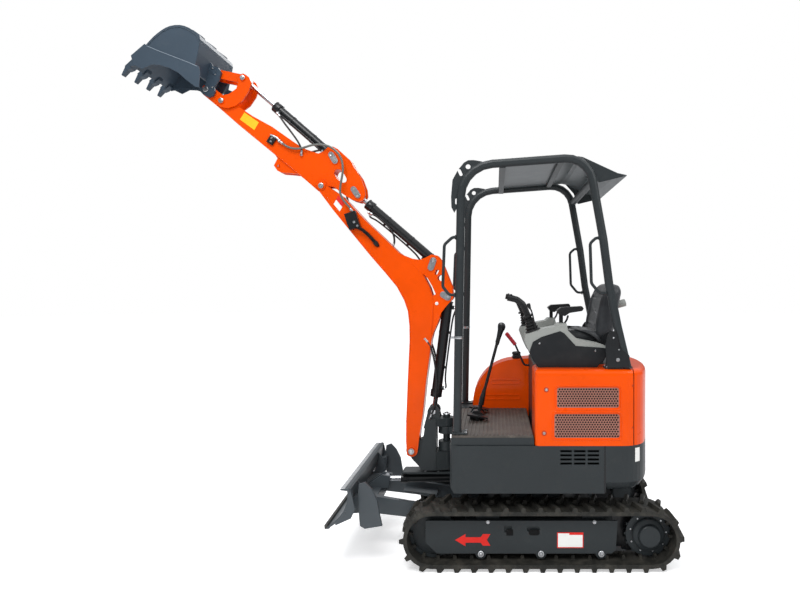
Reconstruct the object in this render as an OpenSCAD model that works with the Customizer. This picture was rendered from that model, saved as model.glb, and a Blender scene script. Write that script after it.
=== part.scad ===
// Mini excavator on rubber tracks, with a swinging boom, a dozer blade and a two-post-pair canopy.
// Millimetres, +X forward, +Y to the machine's left, +Z up. Lengths are taken from the slewing axis,
// and slew_x then sets that axis behind the origin, so that the origin is under the middle of the machine.

/* [Undercarriage] */
// Place of the slewing axis along X, from the origin
slew_x = -878; // [-900:1:-860]
// Overall length of one track
track_len = 1590; // [1540:5:1640]
// Overall height of one track
track_h = 360; // [350:1:370]
// Width of the rubber belt
belt_w = 230; // [210:5:240]
// Overall width over both tracks
track_span = 990; // [980:1:1010]
// Thickness of the belt without its lugs
belt_t = 22; // [18:1:26]
// Height of the lugs
lug_h = 22; // [16:1:26]
// Number of lugs in each of a track's two rows
lug_count = 36; // [32:1:40]
// Height of the guide blocks on the belt's inner face
guide_h = 22; // [16:1:26]

/* [Upper structure] */
// Width of the upper structure
body_w = 980; // [960:5:990]
// Underside of the upper structure above the ground
deck_under = 440; // [435:1:450]
// Top of the charcoal side panels
skirt_top = 705; // [690:1:715]
// Walking surface of the floor mat
floor_z = 765; // [755:1:775]
// Front of the deck from the slewing axis
deck_front = 514; // [508:1:518]
// Rearmost point of the tail from the slewing axis
tail_r = 670; // [660:1:690]
// Top of the orange side covers
cover_top = 1130; // [1115:1:1145]
// Front of the left cover from the slewing axis
cover_front = 38; // [20:1:50]
// Wall thickness of the sheet metal covers
cover_wall = 6; // [4:0.5:8]
// Rounding of the covers' top edges
cover_round = 34; // [26:1:40]
// Spacing of the holes in the covers' grilles
hole_pitch = 15; // [13:0.5:18]

/* [Canopy] */
// Outer diameter of the canopy's tubes
rops_d = 48; // [44:1:54]
// Distance between the centre lines of the two side frames
rops_span = 890; // [870:5:900]
// Height of the top tubes' centre line at the front
rops_front_z = 2274; // [2230:2:2290]
// Height of the top tubes' centre line at the rear
rops_rear_z = 2326; // [2300:2:2340]

/* [Boom and arm] */
// Swing axis of the boom from the slewing axis
king_x = 570; // [565:1:575]
// Boom foot pin ahead of the swing axis
foot_reach = 217; // [214:1:220]
// Boom foot pin above the ground
foot_z = 558; // [555:1:562]
// Boom length, foot pin to arm pin
boom_len = 1768; // [1740:2:1790]
// Angle of the stored boom above the horizontal
boom_rest = 71.2; // [70:0.1:72]
// Width of the boom's box section
boom_w = 112; // [108:1:116]
// Arm length, arm pin to bucket pin
arm_len = 946; // [930:2:960]
// Angle of the stored arm above the horizontal
arm_rest = 39.9; // [39:0.1:41]
// Width of the arm's box section
arm_w = 90; // [86:1:92]
// Width of the bucket over its side plates
bucket_w = 440; // [400:5:460]
// Angle of the stored bucket's mouth above the horizontal
bucket_rest = 10.2; // [9:0.1:12]

/* [Cylinders] */
// Outer diameter of the boom cylinder
boom_cyl_d = 64; // [56:1:68]
// Outer diameter of the arm and bucket cylinders
arm_cyl_d = 60; // [54:1:64]
// Diameter of the piston rods
rod_d = 30; // [25:1:34]
// Diameter of the main pins
pin_d = 30; // [25:1:34]
// Running clearance of a rod in its gland, on the radius
gland_gap = 0.08; // [0.04:0.01:0.1]

/* [Blade] */
// Width of the blade
blade_w = 980; // [940:5:990]
// Height of the blade from its cutting edge to its top edge
blade_h = 222; // [215:1:230]

/* [Hidden] */
$fn = 48;

orange = [0.92, 0.33, 0.10];
charcoal = [0.22, 0.22, 0.23];
slate = [0.28, 0.33, 0.38];
steel = [0.72, 0.72, 0.74];
rubber = [0.16, 0.15, 0.15];
grey = [0.60, 0.61, 0.60];

// Track loop: the ends are half circles about the idler and sprocket axles
loop_r = track_h / 2;
axle_x = track_len / 2 - loop_r;
track_y = track_span / 2 - belt_w / 2;
belt_r = loop_r - lug_h;
seat_gap = 0.3;
loop_straight = 2 * axle_x;
loop_arc = PI * belt_r;
loop_len = 2 * loop_straight + 2 * loop_arc;
lug_slant = 34;

pin_bore = pin_d / 2 + 0.05;
foot_x = king_x + foot_reach;
king_top = 780;

// Places of the boom's and arm's pins in the side view, measured in the frame of boom or arm
boom_cyl_pin = [844, 529];
arm_cyl_pin = [1094, 517];
arm_rod_pin = [-213, 101];
bucket_cyl_pin = [82, 191];
rocker_pin = [827, 7];
link_pin = [814, 204];
bucket_link_pin = [976, 117];
bracket_eye = [650, 802];

// A point turned by an angle about the origin
function turn2(p, a) = [p.x * cos(a) - p.y * sin(a), p.x * sin(a) + p.y * cos(a)];
// A point of the boom's own frame, and below one of the arm's, in the side view
function on_boom(p) = [foot_x, foot_z] + turn2(p, boom_rest);
arm_pin = on_boom([boom_len, 0]);
function on_arm(p) = arm_pin + turn2(p, arm_rest);
bucket_pin = on_arm([arm_len, 0]);

// Length and slope of the line from one point to another
function span2(a, b) = norm(b - a);
function heading(a, b) = atan2(b.y - a.y, b.x - a.x);
// n + 1 points on an arc
function arc_points(c, r, a0, a1, n) = [for (i = [0:n]) c + r * [cos(a0 + (a1 - a0) * i / n),
    sin(a0 + (a1 - a0) * i / n)]];
// A smooth curve through the points p, with n steps between each two
function curve_at(a, b, c, d, t) = 0.5 * (2 * b + (c - a) * t + (2 * a - 5 * b + 4 * c - d) * t * t
    + (3 * b - a - 3 * c + d) * t * t * t);
// A smooth curve through the points p, n steps between each pair
function curve_points(p, n) = [for (i = [0:len(p) - 2], k = [0:n - (i < len(p) - 2 ? 1 : 0)])
    curve_at(p[max(i - 1, 0)], p[i], p[i + 1], p[min(i + 2, len(p) - 1)], k / n)];

// Moves what is drawn from the slewing axis to the origin of the part
module at_slew() {
    translate([slew_x, 0, 0]) children();
}

// Plate between y0 and y1 whose side view is the child's outline
module side_plate(y0, y1) {
    translate([0, y1, 0]) rotate([90, 0, 0]) linear_extrude(y1 - y0) children();
}

// Round bar across the machine, between y0 and y1, at p in the side view
module cross_bar(p, r, y0, y1) {
    translate([p.x, y1, p.y]) rotate([90, 0, 0]) cylinder(r = r, h = y1 - y0);
}

// Side view path p with its inner corners rounded to the radii in bends, in n steps each
function rounded_path(p, bends, n) = [p[0], for (i = [1:len(p) - 2])
    let (bend = bends[i], u = (p[i - 1] - p[i]) / norm(p[i - 1] - p[i]),
        v = (p[i + 1] - p[i]) / norm(p[i + 1] - p[i]),
        half = acos(u * v) / 2, m = (u + v) / norm(u + v), c = p[i] + m * bend / sin(half),
        s = sign(u.x * v.y - u.y * v.x), a = atan2(-m.y, -m.x))
    for (k = [0:n]) c + bend * [cos(a + s * (90 - half) * (1 - 2 * k / n)),
        sin(a + s * (90 - half) * (1 - 2 * k / n))],
    p[len(p) - 1]];

// Round tube with flat sides along the side view path p, at y across the machine
module tube_along(p, r, y, sides = 16) {
    n = len(p);
    points = [for (i = [0:n - 1])
        let (d = p[min(i + 1, n - 1)] - p[max(i - 1, 0)], u = d / norm(d))
        for (k = [0:sides - 1]) let (t = (k + 0.5) * 360 / sides)
            [p[i].x - u.y * r * cos(t), y + r * sin(t), p[i].y + u.x * r * cos(t)]];
    faces = concat(
        [for (i = [0:n - 2], k = [0:sides - 1]) let (a = i * sides + k, b = i * sides + (k + 1) % sides)
            [a, b, b + sides, a + sides]],
        [[for (k = [sides - 1:-1:0]) k]], [[for (k = [0:sides - 1]) (n - 1) * sides + k]]);
    polyhedron(points, faces, convexity = 6);
}

// Cylinder barrel from its base pin at a towards b, in the side view at width place y
module barrel(a, b, d, len, eye_w, y = 0) {
    translate([a.x, y, a.y]) rotate([0, -heading(a, b), 0]) {
        difference() {
            union() {
                rotate([0, 90, 0]) translate([0, 0, 26]) cylinder(d = d, h = len - 26);
                rotate([0, 90, 0]) translate([0, 0, len - 42]) cylinder(d = d + 8, h = 42);
                rotate([90, 0, 0]) cylinder(d = pin_d + 30, h = eye_w, center = true);
            }
            rotate([0, 90, 0]) translate([0, 0, 55]) cylinder(d = rod_d + 2 * gland_gap, h = len);
            rotate([90, 0, 0]) cylinder(r = pin_bore, h = eye_w + 2, center = true);
        }
    }
}

// Piston rod from inside the barrel to its eye at b
module rod(a, b, start, eye_w, y = 0) {
    l = span2(a, b);
    translate([a.x, y, a.y]) rotate([0, -heading(a, b), 0]) {
        rotate([0, 90, 0]) translate([0, 0, start]) cylinder(d = rod_d, h = l - start);
        translate([l, 0, 0]) rotate([90, 0, 0]) cylinder(d = pin_d + 28, h = eye_w, center = true);
    }
}

// Point and heading at distance s along the belt's outer face
function loop_point(t) = let (s = t < 0 ? t + loop_len : t >= loop_len ? t - loop_len : t)
    s < loop_straight ? [axle_x - s, loop_r + belt_r, 180] :
    s < loop_straight + loop_arc ?
        let (a = 90 + (s - loop_straight) / belt_r * 180 / PI)
        [-axle_x + belt_r * cos(a), loop_r + belt_r * sin(a), a + 90] :
    s < 2 * loop_straight + loop_arc ? [-axle_x + s - loop_straight - loop_arc, loop_r - belt_r, 0] :
        let (a = -90 + (s - 2 * loop_straight - loop_arc) / belt_r * 180 / PI)
        [axle_x + belt_r * cos(a), loop_r + belt_r * sin(a), a + 90];

// Tapered lug round the belt: s0 and s1 are its places along the belt at y0 and y1
module lug(s0, y0, s1, y1) {
    ends = y0 < y1 ? [[s0, y0], [s1, y1]] : [[s1, y1], [s0, y0]];
    points = [for (e = ends, c = [[-19, -6], [19, -6], [10, lug_h], [-10, lug_h]])
        let (p = loop_point(e[0] + c[0])) [p.x + c[1] * sin(p[2]), e[1], p.y - c[1] * cos(p[2])]];
    polyhedron(points, [[0, 1, 2], [0, 2, 3], [4, 6, 5], [4, 7, 6], [0, 4, 1], [4, 5, 1], [1, 5, 2], [5, 6,
        2],
        [2, 6, 3], [6, 7, 3], [3, 7, 0], [7, 4, 0]]);
}

// The belt's closed line at radius r round the two wheels
function belt_line(r) = concat(arc_points([-axle_x, loop_r], r, 90, 270, 14), arc_points([axle_x, loop_r],
    r, -90, 90, 14));

// One rubber track: a closed belt with two staggered rows of lugs
module track(y) {
    side = sign(y);
    pitch = loop_len / lug_count;
    side_plate(y - belt_w / 2, y + belt_w / 2) difference() {
        polygon(belt_line(belt_r));
        polygon(belt_line(belt_r - belt_t));
    }
    for (i = [0:lug_count - 1]) {
        lug(i * pitch, y + side * 8, i * pitch + lug_slant, y + side * belt_w / 2);
        lug((i + 0.5) * pitch, y - side * 8, (i + 0.5) * pitch + lug_slant, y - side * belt_w / 2);
    }
    for (row = [-1, 1]) side_plate(y + row * 34 - 9,
        y + row * 34 + 9) for (i = [0:lug_count - 1]) guide_outline(i);
}

// Guide block on the belt's inner face; the wheels run between two rows of them
module guide_outline(i) {
    p = loop_point((i + 0.5) * loop_len / lug_count);
    translate([p.x, p.y]) rotate(p[2])
        polygon([[-12, belt_t - 4], [12, belt_t - 4], [8, belt_t + guide_h], [-8, belt_t + guide_h]]);
}

// The tracks: one rubber belt each, with its lugs and guide blocks
module track_left() {
    color(rubber) track(track_y);
}

module track_right() {
    color(rubber) track(-track_y);
}

wheel_r = belt_r - belt_t - 4 * seat_gap;
wheel_w = 44;
// Front idlers: a disc with a recess each side that runs between the guide blocks
module idlers() {
    color(charcoal) for (s = [-1, 1]) translate([axle_x, s * track_y, loop_r]) rotate([90, 0, 0]) {
        difference() {
            cylinder(r = wheel_r, h = wheel_w, center = true);
            for (k = [-1, 1]) translate([0, 0, k * wheel_w / 2]) difference() {
                cylinder(r = wheel_r - 20, h = 24, center = true);
                cylinder(r = 50, h = 30, center = true);
            }
        }
        cylinder(r = 40, h = 2 * frame_half - 28, center = true);
        cylinder(r = 18, h = 2 * frame_half - 25, center = true);
    }
}

roller_r = 40;
axle_r = 14;
roller_xs = [275 - axle_x, 0, axle_x - 275];
roller_z = lug_h + belt_t + roller_r + seat_gap;
// Track rollers, three a side, on axles through the track frame
module rollers() {
    color(charcoal) for (s = [-1, 1], x = roller_xs) translate([x, s * track_y, roller_z])
        rotate([90, 0, 0]) {
            cylinder(r = roller_r, h = wheel_w, center = true);
            cylinder(r = 17, h = 2 * frame_half - 26, center = true);
            cylinder(r = axle_r, h = 2 * frame_half + 16, center = true);
        }
}

// Sprockets with their teeth, bolted to the travel motors
module sprockets() {
    color(charcoal) for (s = [-1, 1]) translate([-axle_x, s * track_y, loop_r]) rotate([90, 0, 0])
        difference() {
            union() {
                linear_extrude(30, center = true) union() {
                    circle(r = wheel_r - 20);
                    for (i = [0:14]) rotate(i * 24) polygon([[wheel_r - 30, -13], [wheel_r, -6], [wheel_r,
                        6], [wheel_r - 30, 13]]);
                }
                cylinder(r = wheel_r - 34, h = wheel_w, center = true);
            }
            cylinder(r = 80, h = 100, center = true);
        }
}

// Travel motors: a stepped drum inside each sprocket, carried by the track frame
module travel_motors() {
    color(charcoal) for (s = [-1, 1]) translate([-axle_x, s * track_y, loop_r]) rotate([s * -90, 0, 0])
        rotate_extrude() polygon([[0, -95], [60, -95], [66, -89], [66, -40], [79.7, -36], [79.7, 22], [88,
            22.3], [92, 27],
            [92, 34], [86, 40], [66, 48], [62, 54], [62, 68], [57, 73], [20, 75], [0, 75]]);
}

frame_half = 62;
belt_top = track_h - lug_h - belt_t;
frame_front = axle_x + 38;
frame_rear = 192 - axle_x;
box_front = axle_x - 185;
// Track frames: a box beam a side, with its windows, and the idler's fork
module track_frames() {
    color(charcoal) for (s = [-1, 1]) translate([0, s * track_y, 0]) {
        for (k = [-1, 1]) side_plate(k * (frame_half - 6) - 6, k * (frame_half - 6) + 6) difference() {
            union() {
                polygon([[frame_rear, 104], [frame_rear + 24, 84], [frame_front - 65, 84], [frame_front,
                    145], [frame_front, 270],
                    [frame_rear - 10, 270]]);
                for (x = roller_xs) translate([x, roller_z]) circle(r = 30);
            }
            for (x = roller_xs) translate([x, roller_z]) circle(r = axle_r + 0.05);
            if (k == s) {
                translate([165, 203]) square([42, 38]);
                for (x = [22, 66]) translate([x, 222]) circle(r = 15);
                translate([22, 207]) square([44, 30]);
            }
        }
        side_plate(13 - frame_half, frame_half - 13) difference() {
            polygon([[frame_rear + 60, 140], [frame_rear + 60, 269], [box_front, 269], [box_front, 140]]);
            for (x = roller_xs) translate([x, roller_z]) circle(r = roller_r + 8);
        }
        for (x = [312 - axle_x, axle_x - 314]) side_plate(-22, 22)
            polygon([[x - 70, 262], [x + 70, 262], [x + 58, belt_top - seat_gap], [x - 58,
                belt_top - seat_gap]]);
    }
}

inner_half = track_span / 2 - belt_w;
blade_lug_y = inner_half - 30;
blade_arm_y = blade_lug_y - 40;
// Centre frame between the tracks, with the slewing ring's seat and the blade's brackets
module centre_frame() {
    color(charcoal) {
        translate([-330, 45 - inner_half, 150]) cube([660, 2 * inner_half - 90, 120]);
        for (x = [-300, 180]) translate([x, frame_half - track_y, 160]) cube([120,
            2 * (track_y - frame_half), 90]);
        translate([0, 0, 270]) cylinder(r = 250, h = 100);
        translate([0, 0, 370]) cylinder(r = 232, h = deck_under - 370 - seat_gap);
        for (s = [-1, 1]) side_plate(s * blade_lug_y - 18, s * blade_lug_y + 18)
            polygon([[330, 150], [330, 250], [440, 250], [505, 225], [505, 175], [440, 150]]);
        for (s = [-1, 1]) cross_bar(blade_pivot, pin_d / 2, s * (blade_lug_y - 21) - 39,
            s * (blade_lug_y - 21) + 39);
        cross_bar(blade_base, pin_d / 2, -52, 52);
        for (s = [-1, 1]) side_plate(s * 42 - 10, s * 42 + 10)
            polygon([[330, 150], [330, 270], [250, 366], [250, 424], [484.7, 424], [484.7, 400], [495,
                350], [420, 330], [400, 150]]);
        side_plate(-60, 60)
            polygon([[250, 424], [840, 424], [850, 414], [850, 405], [838, 405], [838, 412], [250, 412]]);
    }
}

// Blade assembly in its stored place: lift arms, cross tube, curved plate and cutting edge
blade_pivot = [470, 200];
reach = axle_x - 615;
blade_foot = 244;
blade_eye = [reach + 955, 366];
blade_base = [460, 372];
// Dozer blade: a curved plate on two arms, with the folded extension wings behind it
module blade() {
    color(charcoal) {
        for (s = [-1, 1]) side_plate(s * blade_arm_y - 16, s * blade_arm_y + 16) difference() {
            polygon([[445, 175], [445, 225], [480, 240], [reach + 1040, 335], [reach + 1097, 332],
                [reach + 1122, 296],
                [reach + 1140, 258], [reach + 1090, 236], [480, 165]]);
            translate(blade_pivot) circle(d = pin_d + 0.1);
        }
        translate([reach + 980, 15 - blade_arm_y, 240]) cube([70, 2 * blade_arm_y - 30, 80]);
        for (s = [-1, 1]) side_plate(s * 30 - 8, s * 30 + 8) translate([reach, 0])
            polygon([[935, 320], [925, 390], [975, 400], [1080, 330], [1060, 300]]);
        side_plate(-blade_w / 2, blade_w / 2) translate([reach, 0]) polygon(concat(
            arc_points([1262, 430], 194, 168, 238, 8), [[1190, blade_foot], [1206, blade_foot]],
            arc_points([1262, 430], 180, 238, 168, 8)));
        side_plate(-blade_w / 2, blade_w / 2) translate([reach, 0])
            polygon([[1064, blade_foot + blade_h], [1122, blade_foot + blade_h], [1122,
                blade_foot + blade_h - 8], [1088, blade_foot + blade_h - 12]]);
        for (s = [-1, 1]) side_plate(s * (blade_w / 2 - 5) - 5,
            s * (blade_w / 2 - 5) + 5) translate([reach, 0])
            polygon([[1066, blade_foot + blade_h - 2], [1040, 350], [1064, 300], [1150, 262], [1150, 282],
                [1092, 330], [1078, 400]]);
        for (s = [-1, 1]) side_plate(s * (blade_w / 2 - 190) - 6,
            s * (blade_w / 2 - 190) + 6) translate([reach, 0])
            polygon([[1072, blade_foot + blade_h - 12], [1030, 400], [1010, 330], [1060, 262], [1150, 255],
                [1150, 275], [1090, 330], [1076, 400]]);
        wing_plates();
    }
}

// Width extensions of the blade, folded back and carried on two brackets behind it
module wing_plates() {
    for (s = [-1, 1]) translate([reach, 0, 0]) {
        side_plate(s * (blade_w / 2 - 75) - 8, s * (blade_w / 2 - 75) + 8)
            polygon([[902, 232], [1000, 216], [1028, 232], [1034, 300], [1039, 420], [1034, 468], [1000,
                480], [962, 440],
                [932, 380], [918, 300]]);
        side_plate(s * (blade_w / 2 - 110) - 30, s * (blade_w / 2 - 110) + 30) polygon([[1020, 330], [1020,
            400], [1078, 390], [1096, 330]]);
    }
}

// The blade's cylinder, from the centre frame to the blade's back
module blade_barrel() {
    color(charcoal) barrel(blade_base, blade_eye, 50, 400, 44);
}

module blade_rod() {
    color(steel) rod(blade_base, blade_eye, 130, 40);
}

// Plan of the upper structure: a long tail arc and rounded corners, each set in by the inset
tail_arc = 1060;
corner_r = 150;
corner_at = [tail_arc - tail_r - sqrt(pow(tail_arc - corner_r, 2) - pow(body_w / 2 - corner_r, 2)),
    body_w / 2 - corner_r];
corner_end = 180 - asin(corner_at.y / (tail_arc - corner_r));
// The upper body's outline from above: square at the front and round at the tail
function plan_points(inset) = let (w = body_w / 2 - inset, f = deck_front - inset - 40,
    rest = 180 - corner_end)
    concat(arc_points([f, 40 - w], 40, -90, 0, 5), arc_points([f, w - 40], 40, 0, 90, 5),
        arc_points(corner_at, corner_r - inset, 90, corner_end, 6),
        arc_points([tail_arc - tail_r, 0], tail_arc - inset, corner_end + rest / 6, 180 + rest * 5 / 6, 10),
        arc_points([corner_at.x, -corner_at.y], corner_r - inset, 180 + rest, 270, 6));

// Body through the plan's outline at each level, given as [height, inset]
module body_loft(levels) {
    n = len(plan_points(0));
    polyhedron([for (v = levels, p = plan_points(v[1])) [p.x, p.y, v[0]]],
        concat([[for (k = [0:n - 1]) k]], [[for (k = [n - 1:-1:0]) (len(levels) - 1) * n + k]],
            [for (i = [0:len(levels) - 2], k = [0:n - 1]) let (a = i * n + k, b = i * n + (k + 1) % n) [a,
                a + n, b + n, b]]),
        convexity = 4);
}
// That outline as a shape, and as a slab from z0 to z1
module body_plan(inset) {
    polygon(plan_points(inset));
}

module body_slice(inset, z0, z1) {
    translate([0, 0, z0]) linear_extrude(z1 - z0) body_plan(inset);
}

// Upper frame: base plate, side skirts, deck plate, and the two knuckles of the swing post
counter_x = -353;
rib_y = 200;
engine_under = 575;
// Turntable: deck, side panels with their vents, and the bracket for the swing post
module turntable_frame() {
    color(charcoal) {
        difference() {
            body_slice(0, deck_under, skirt_top);
            body_slice(8, deck_under + 16, skirt_top + 1);
            translate([counter_x - 900, -600, 0]) cube([900, 1200, 1000]);
            translate([deck_front - 100, -190, deck_under - 1]) cube([200, 380, 231]);
            for (c = [0:2], r = [0:3]) translate([-168 - c * 76, body_w / 2 - 20, 601 + r * 23]) cube([64,
                40, 12]);
            side_plate(-600, 600) polygon([[deck_front + 1, deck_under - 1], [deck_front + 1,
                deck_under + 34],
                [deck_front - 26, deck_under - 1]]);
        }
        difference() {
            translate([cover_front + 4, -289.5, skirt_top])
                cube([deck_front - cover_front - 14, body_w / 2 + 279.5, floor_z - skirt_top - 16]);
            translate([cover_front + 60, -230, skirt_top - 1])
                cube([deck_front - cover_front - 150, body_w / 2 + 160, floor_z - skirt_top - 28]);
        }
        translate([right_front + 0.3, -body_w / 2 + 10, skirt_top])
            cube([deck_front - right_front - 10.3, 209, floor_z - skirt_top]);
        for (s = [-1, 1]) side_plate(s * rib_y - 8, s * rib_y + 8) polygon([[counter_x + 1,
            deck_under + 16], [counter_x + 1, engine_under],
            [-20, engine_under], [60, skirt_top], [deck_front - 8, skirt_top], [deck_front - 8,
                deck_under + 16]]);
        for (z = [[556, 612], [662, 708]]) difference() {
            union() {
                linear_extrude_at(z[0], z[1]) polygon([[deck_front - 70, -120], [king_x - 20, -48],
                    [king_x + 10, -48],
                    [king_x + 10, 48], [king_x - 20, 48], [deck_front - 70, 120]]);
                translate([king_x, 0, z[0]]) cylinder(r = 52, h = z[1] - z[0]);
            }
            translate([king_x, 0, 0]) cylinder(d = 45.1, h = 1000);
        }
        translate([swing_base.x, swing_base.y, deck_under + 10]) {
            cylinder(d = pin_d, h = swing_z + 24 - deck_under - 10);
            cylinder(r = 26, h = swing_z - 20.3 - deck_under - 10);
        }
        translate([deck_front - 70, -142, 556]) cube([60, 284, skirt_top - 556]);
    }
}

// Plate between two heights whose plan is the child's outline
module linear_extrude_at(z0, z1) {
    translate([0, 0, z0]) linear_extrude(z1 - z0) children();
}

// Counterweight round the tail
module counterweight() {
    color(charcoal) difference() {
        body_loft([[deck_under + 10, 48], [deck_under + 28, 24], [deck_under + 62, 0], [skirt_top, 0]]);
        translate([counter_x - 0.3, -600, 0]) cube([1200, 1200, 1000]);
        translate([counter_x - 60, -body_w / 2 + 60, deck_under + 60]) cube([200, body_w - 120, 400]);
    }
}

// Rubber mat on the operator's floor
module floor_mat() {
    color(rubber) {
        translate([cover_front + 10, -270, floor_z - 16]) cube([deck_front - cover_front - 20,
            body_w / 2 + 262, 12]);
        for (i = [0:19]) translate([cover_front + 14 + i * 23, -262, floor_z - 4]) cube([10,
            body_w / 2 + 246, 4]);
    }
}

seam_x = -514;
// Body of a cover: the plan's outline with a rounded top edge
module cover_body(inset) {
    r = cover_round - inset;
    body_loft(concat([[skirt_top - inset, inset]], [for (k = [0:4])
        [cover_top - inset - r * (1 - sin(k * 22.5)), inset + r * (1 - cos(k * 22.5))]]));
}

// Side view of the left cover's front, rounded at the top
module cover_side(front, top, r) {
    polygon(concat([[-800, skirt_top - 20], [front, skirt_top - 20]], arc_points([front - r, top - r], r,
        0, 90, 5), [[-800, top]]));
}

// The two openings for the grilles in the left cover: x, z, width and height
function window(k) = k == 0 ? [-436, 749, 365, 134] : [-432, 917, 347, 113];

module window_outline(k, grow) {
    w = window(k);
    r = 14 + grow;
    translate([w[0] - grow, w[1] - grow]) union() {
        translate([r, 0]) square([w[2] + 2 * grow - 2 * r, w[3] + 2 * grow]);
        translate([0, r]) square([w[2] + 2 * grow, w[3] + 2 * grow - 2 * r]);
        for (x = [r, w[2] + 2 * grow - r], y = [r, w[3] + 2 * grow - r]) translate([x, y]) circle(r = r,
            $fn = 24);
    }
}

// Left engine cover with the two grille openings
module left_cover() {
    color(orange) difference() {
        intersection() {
            cover_body(0);
            side_plate(250, 600) cover_side(cover_front, cover_top, 22);
            linear_extrude(2000) polygon(concat([[seam_x, 0], [cover_front, 0]],
                arc_points([cover_front - 24, body_w / 2 - 24], 24, 0, 90, 5), [[seam_x, body_w / 2]]));
        }
        intersection() {
            cover_body(cover_wall);
            side_plate(200, 600) cover_side(cover_front - cover_wall, cover_top - cover_wall, 16);
            linear_extrude(2000) polygon(concat([[seam_x - 10, 0], [cover_front - cover_wall, 0]],
                arc_points([cover_front - 24, body_w / 2 - 24], 18, 0, 90, 5), [[seam_x - 10,
                    body_w / 2 - cover_wall]]));
        }
        for (k = [0, 1]) {
            side_plate(body_w / 2 - 2, body_w / 2 + 10) window_outline(k, 9);
            side_plate(body_w / 2 - 30, body_w / 2 + 10) window_outline(k, 0);
        }
    }
}

// Perforated plates behind the left cover's two windows
module cover_grilles() {
    color(charcoal) for (k = [0, 1]) side_plate(body_w / 2 - cover_wall - 2.6,
        body_w / 2 - cover_wall - 0.2) difference() {
        window_outline(k, 6);
        perforation(window(k));
    }
}

// Staggered round holes of the grille w
module perforation(w) {
    row = hole_pitch * sqrt(3) / 2;
    across = floor((w[2] - 16) / hole_pitch);
    up = floor((w[3] - 14) / row);
    for (j = [0:up], i = [0:across - (j % 2)])
        translate([w[0] + w[2] / 2 + (i - (across - j % 2) / 2) * hole_pitch,
            w[1] + w[3] / 2 + (j - up / 2) * row])
            rotate(30) circle(r = hole_pitch * 0.4, $fn = 6);
}

right_front = 412;
// The right cover's outline from the side, inset by d
function right_outline(d) = concat([[seam_x - 40, skirt_top - 1], [right_front - d, skirt_top - 1],
    [right_front - d, 795]],
    arc_points([right_front - 300, 795], 300 - d, 6, 86, 10), [[80, 1098 - d], [-330, cover_top - d],
        [seam_x - 40, cover_top - d]]);
right_inner = -290;

// Outline of two round ends of radius r, at p and q, joined by straight sides
module capsule(p, q, r) {
    h = heading(p, q);
    polygon(concat(arc_points(p, r, h + 90, h + 270, 12), arc_points(q, r, h - 90, h + 90, 12)));
}

// Right cover: fuel tank side, arched down to the floor, with two pressed beads on its inner face
// Right cover's body out to the side, with a rounded outer edge, set in all round by the inset
module right_body(inset) {
    r = 24 - inset;
    levels = concat([for (k = [0:4]) [inset - body_w / 2 + r * (1 - cos(k * 22.5)),
        inset + r * (1 - sin(k * 22.5))]],
        [[right_inner - inset, inset]]);
    n = len(right_outline(0));
    polyhedron([for (v = levels, p = right_outline(v[1])) [p.x, v[0], p.y]],
        concat([[for (k = [n - 1:-1:0]) k]], [[for (k = [0:n - 1]) (len(levels) - 1) * n + k]],
            [for (i = [0:len(levels) - 2], k = [0:n - 1]) let (a = i * n + k, b = i * n + (k + 1) % n) [a,
                b, b + n, a + n]]),
        convexity = 4);
}

// Right cover: over the fuel tank, arched down to the floor, with two pressed beads on its inner face
module right_cover() {
    color(orange) {
        difference() {
            intersection() {
                cover_body(0);
                right_body(0);
                translate([seam_x, -600, 0]) cube([2000, 600, 2000]);
            }
            intersection() {
                cover_body(cover_wall);
                right_body(cover_wall);
            }
        }
        side_plate(right_inner - 0.5, right_inner + 3) for (b = [[100, 272, 940], [100, 328,
            834]]) difference() {
            capsule([b[0], b[2]], [b[1], b[2]], 19);
            capsule([b[0], b[2]], [b[1], b[2]], 11);
        }
    }
}

hinge_at = [seam_x - 2.5, cover_top + 8.3];
// Knuckle of the bonnet's hinge with its leaf
module hinge_eye(dir) {
    translate(hinge_at) circle(r = 8);
    polygon([[hinge_at.x, hinge_at.y + 8], [hinge_at.x + dir * 4, hinge_at.y + 8], [hinge_at.x + dir * 26,
        cover_top + 1],
        [hinge_at.x + dir * 26, cover_top - 2], [hinge_at.x + dir * 4, cover_top - 2], [hinge_at.x,
            hinge_at.y]]);
}

// Bulkhead and deck below the seat, with the fixed knuckles of the bonnet's hinge
module seat_base() {
    color(charcoal) {
        difference() {
            translate([seam_x, -289, skirt_top + 0.5]) cube([cover_front - 10 - seam_x, 538.5,
                cover_top - skirt_top - 0.5]);
            translate([seam_x - 10, -280, skirt_top - 10]) cube([cover_front - seam_x - 10, 520,
                cover_top - skirt_top]);
        }
        for (s = [-1, 1]) side_plate(s * 150 - 12, s * 150 + 12) difference() {
            hinge_eye(1);
            translate(hinge_at) circle(r = 5.05);
        }
    }
}

// Rear bonnet over the engine, hinged at the seat's deck
module rear_bonnet() {
    color(orange) {
        difference() {
            intersection() {
                cover_body(0);
                translate([-900, -600, skirt_top + seat_gap]) cube([900 + seam_x - 5, 1200, 1000]);
            }
            intersection() {
                cover_body(cover_wall);
                translate([-900, -600, 0]) cube([900 + seam_x + 5, 1200, 2000]);
            }
        }
        for (s = [-1, 1]) {
            side_plate(s * 171.3 - 9, s * 171.3 + 9) hinge_eye(-1);
            cross_bar(hinge_at, 5, s * 155 - 20, s * 155 + 20);
        }
    }
}

// The engine as one plain block: only its outside is seen with the bonnet open
module engine_block() {
    color(grey) translate([-400, -208, engine_under]) cube([330, 416, 400]);
}

// Seat, plain: cushion, back and its box
module seat() {
    color(charcoal) {
        translate([-420, -215, 1215]) cube([400, 430, 90]);
        translate([-420, -205, 1305]) rotate([0, -14, 0]) translate([-80, 0, -60]) cube([90, 410, 380]);
        translate([-400, -170, cover_top]) cube([350, 340, 85]);
    }
}

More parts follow.
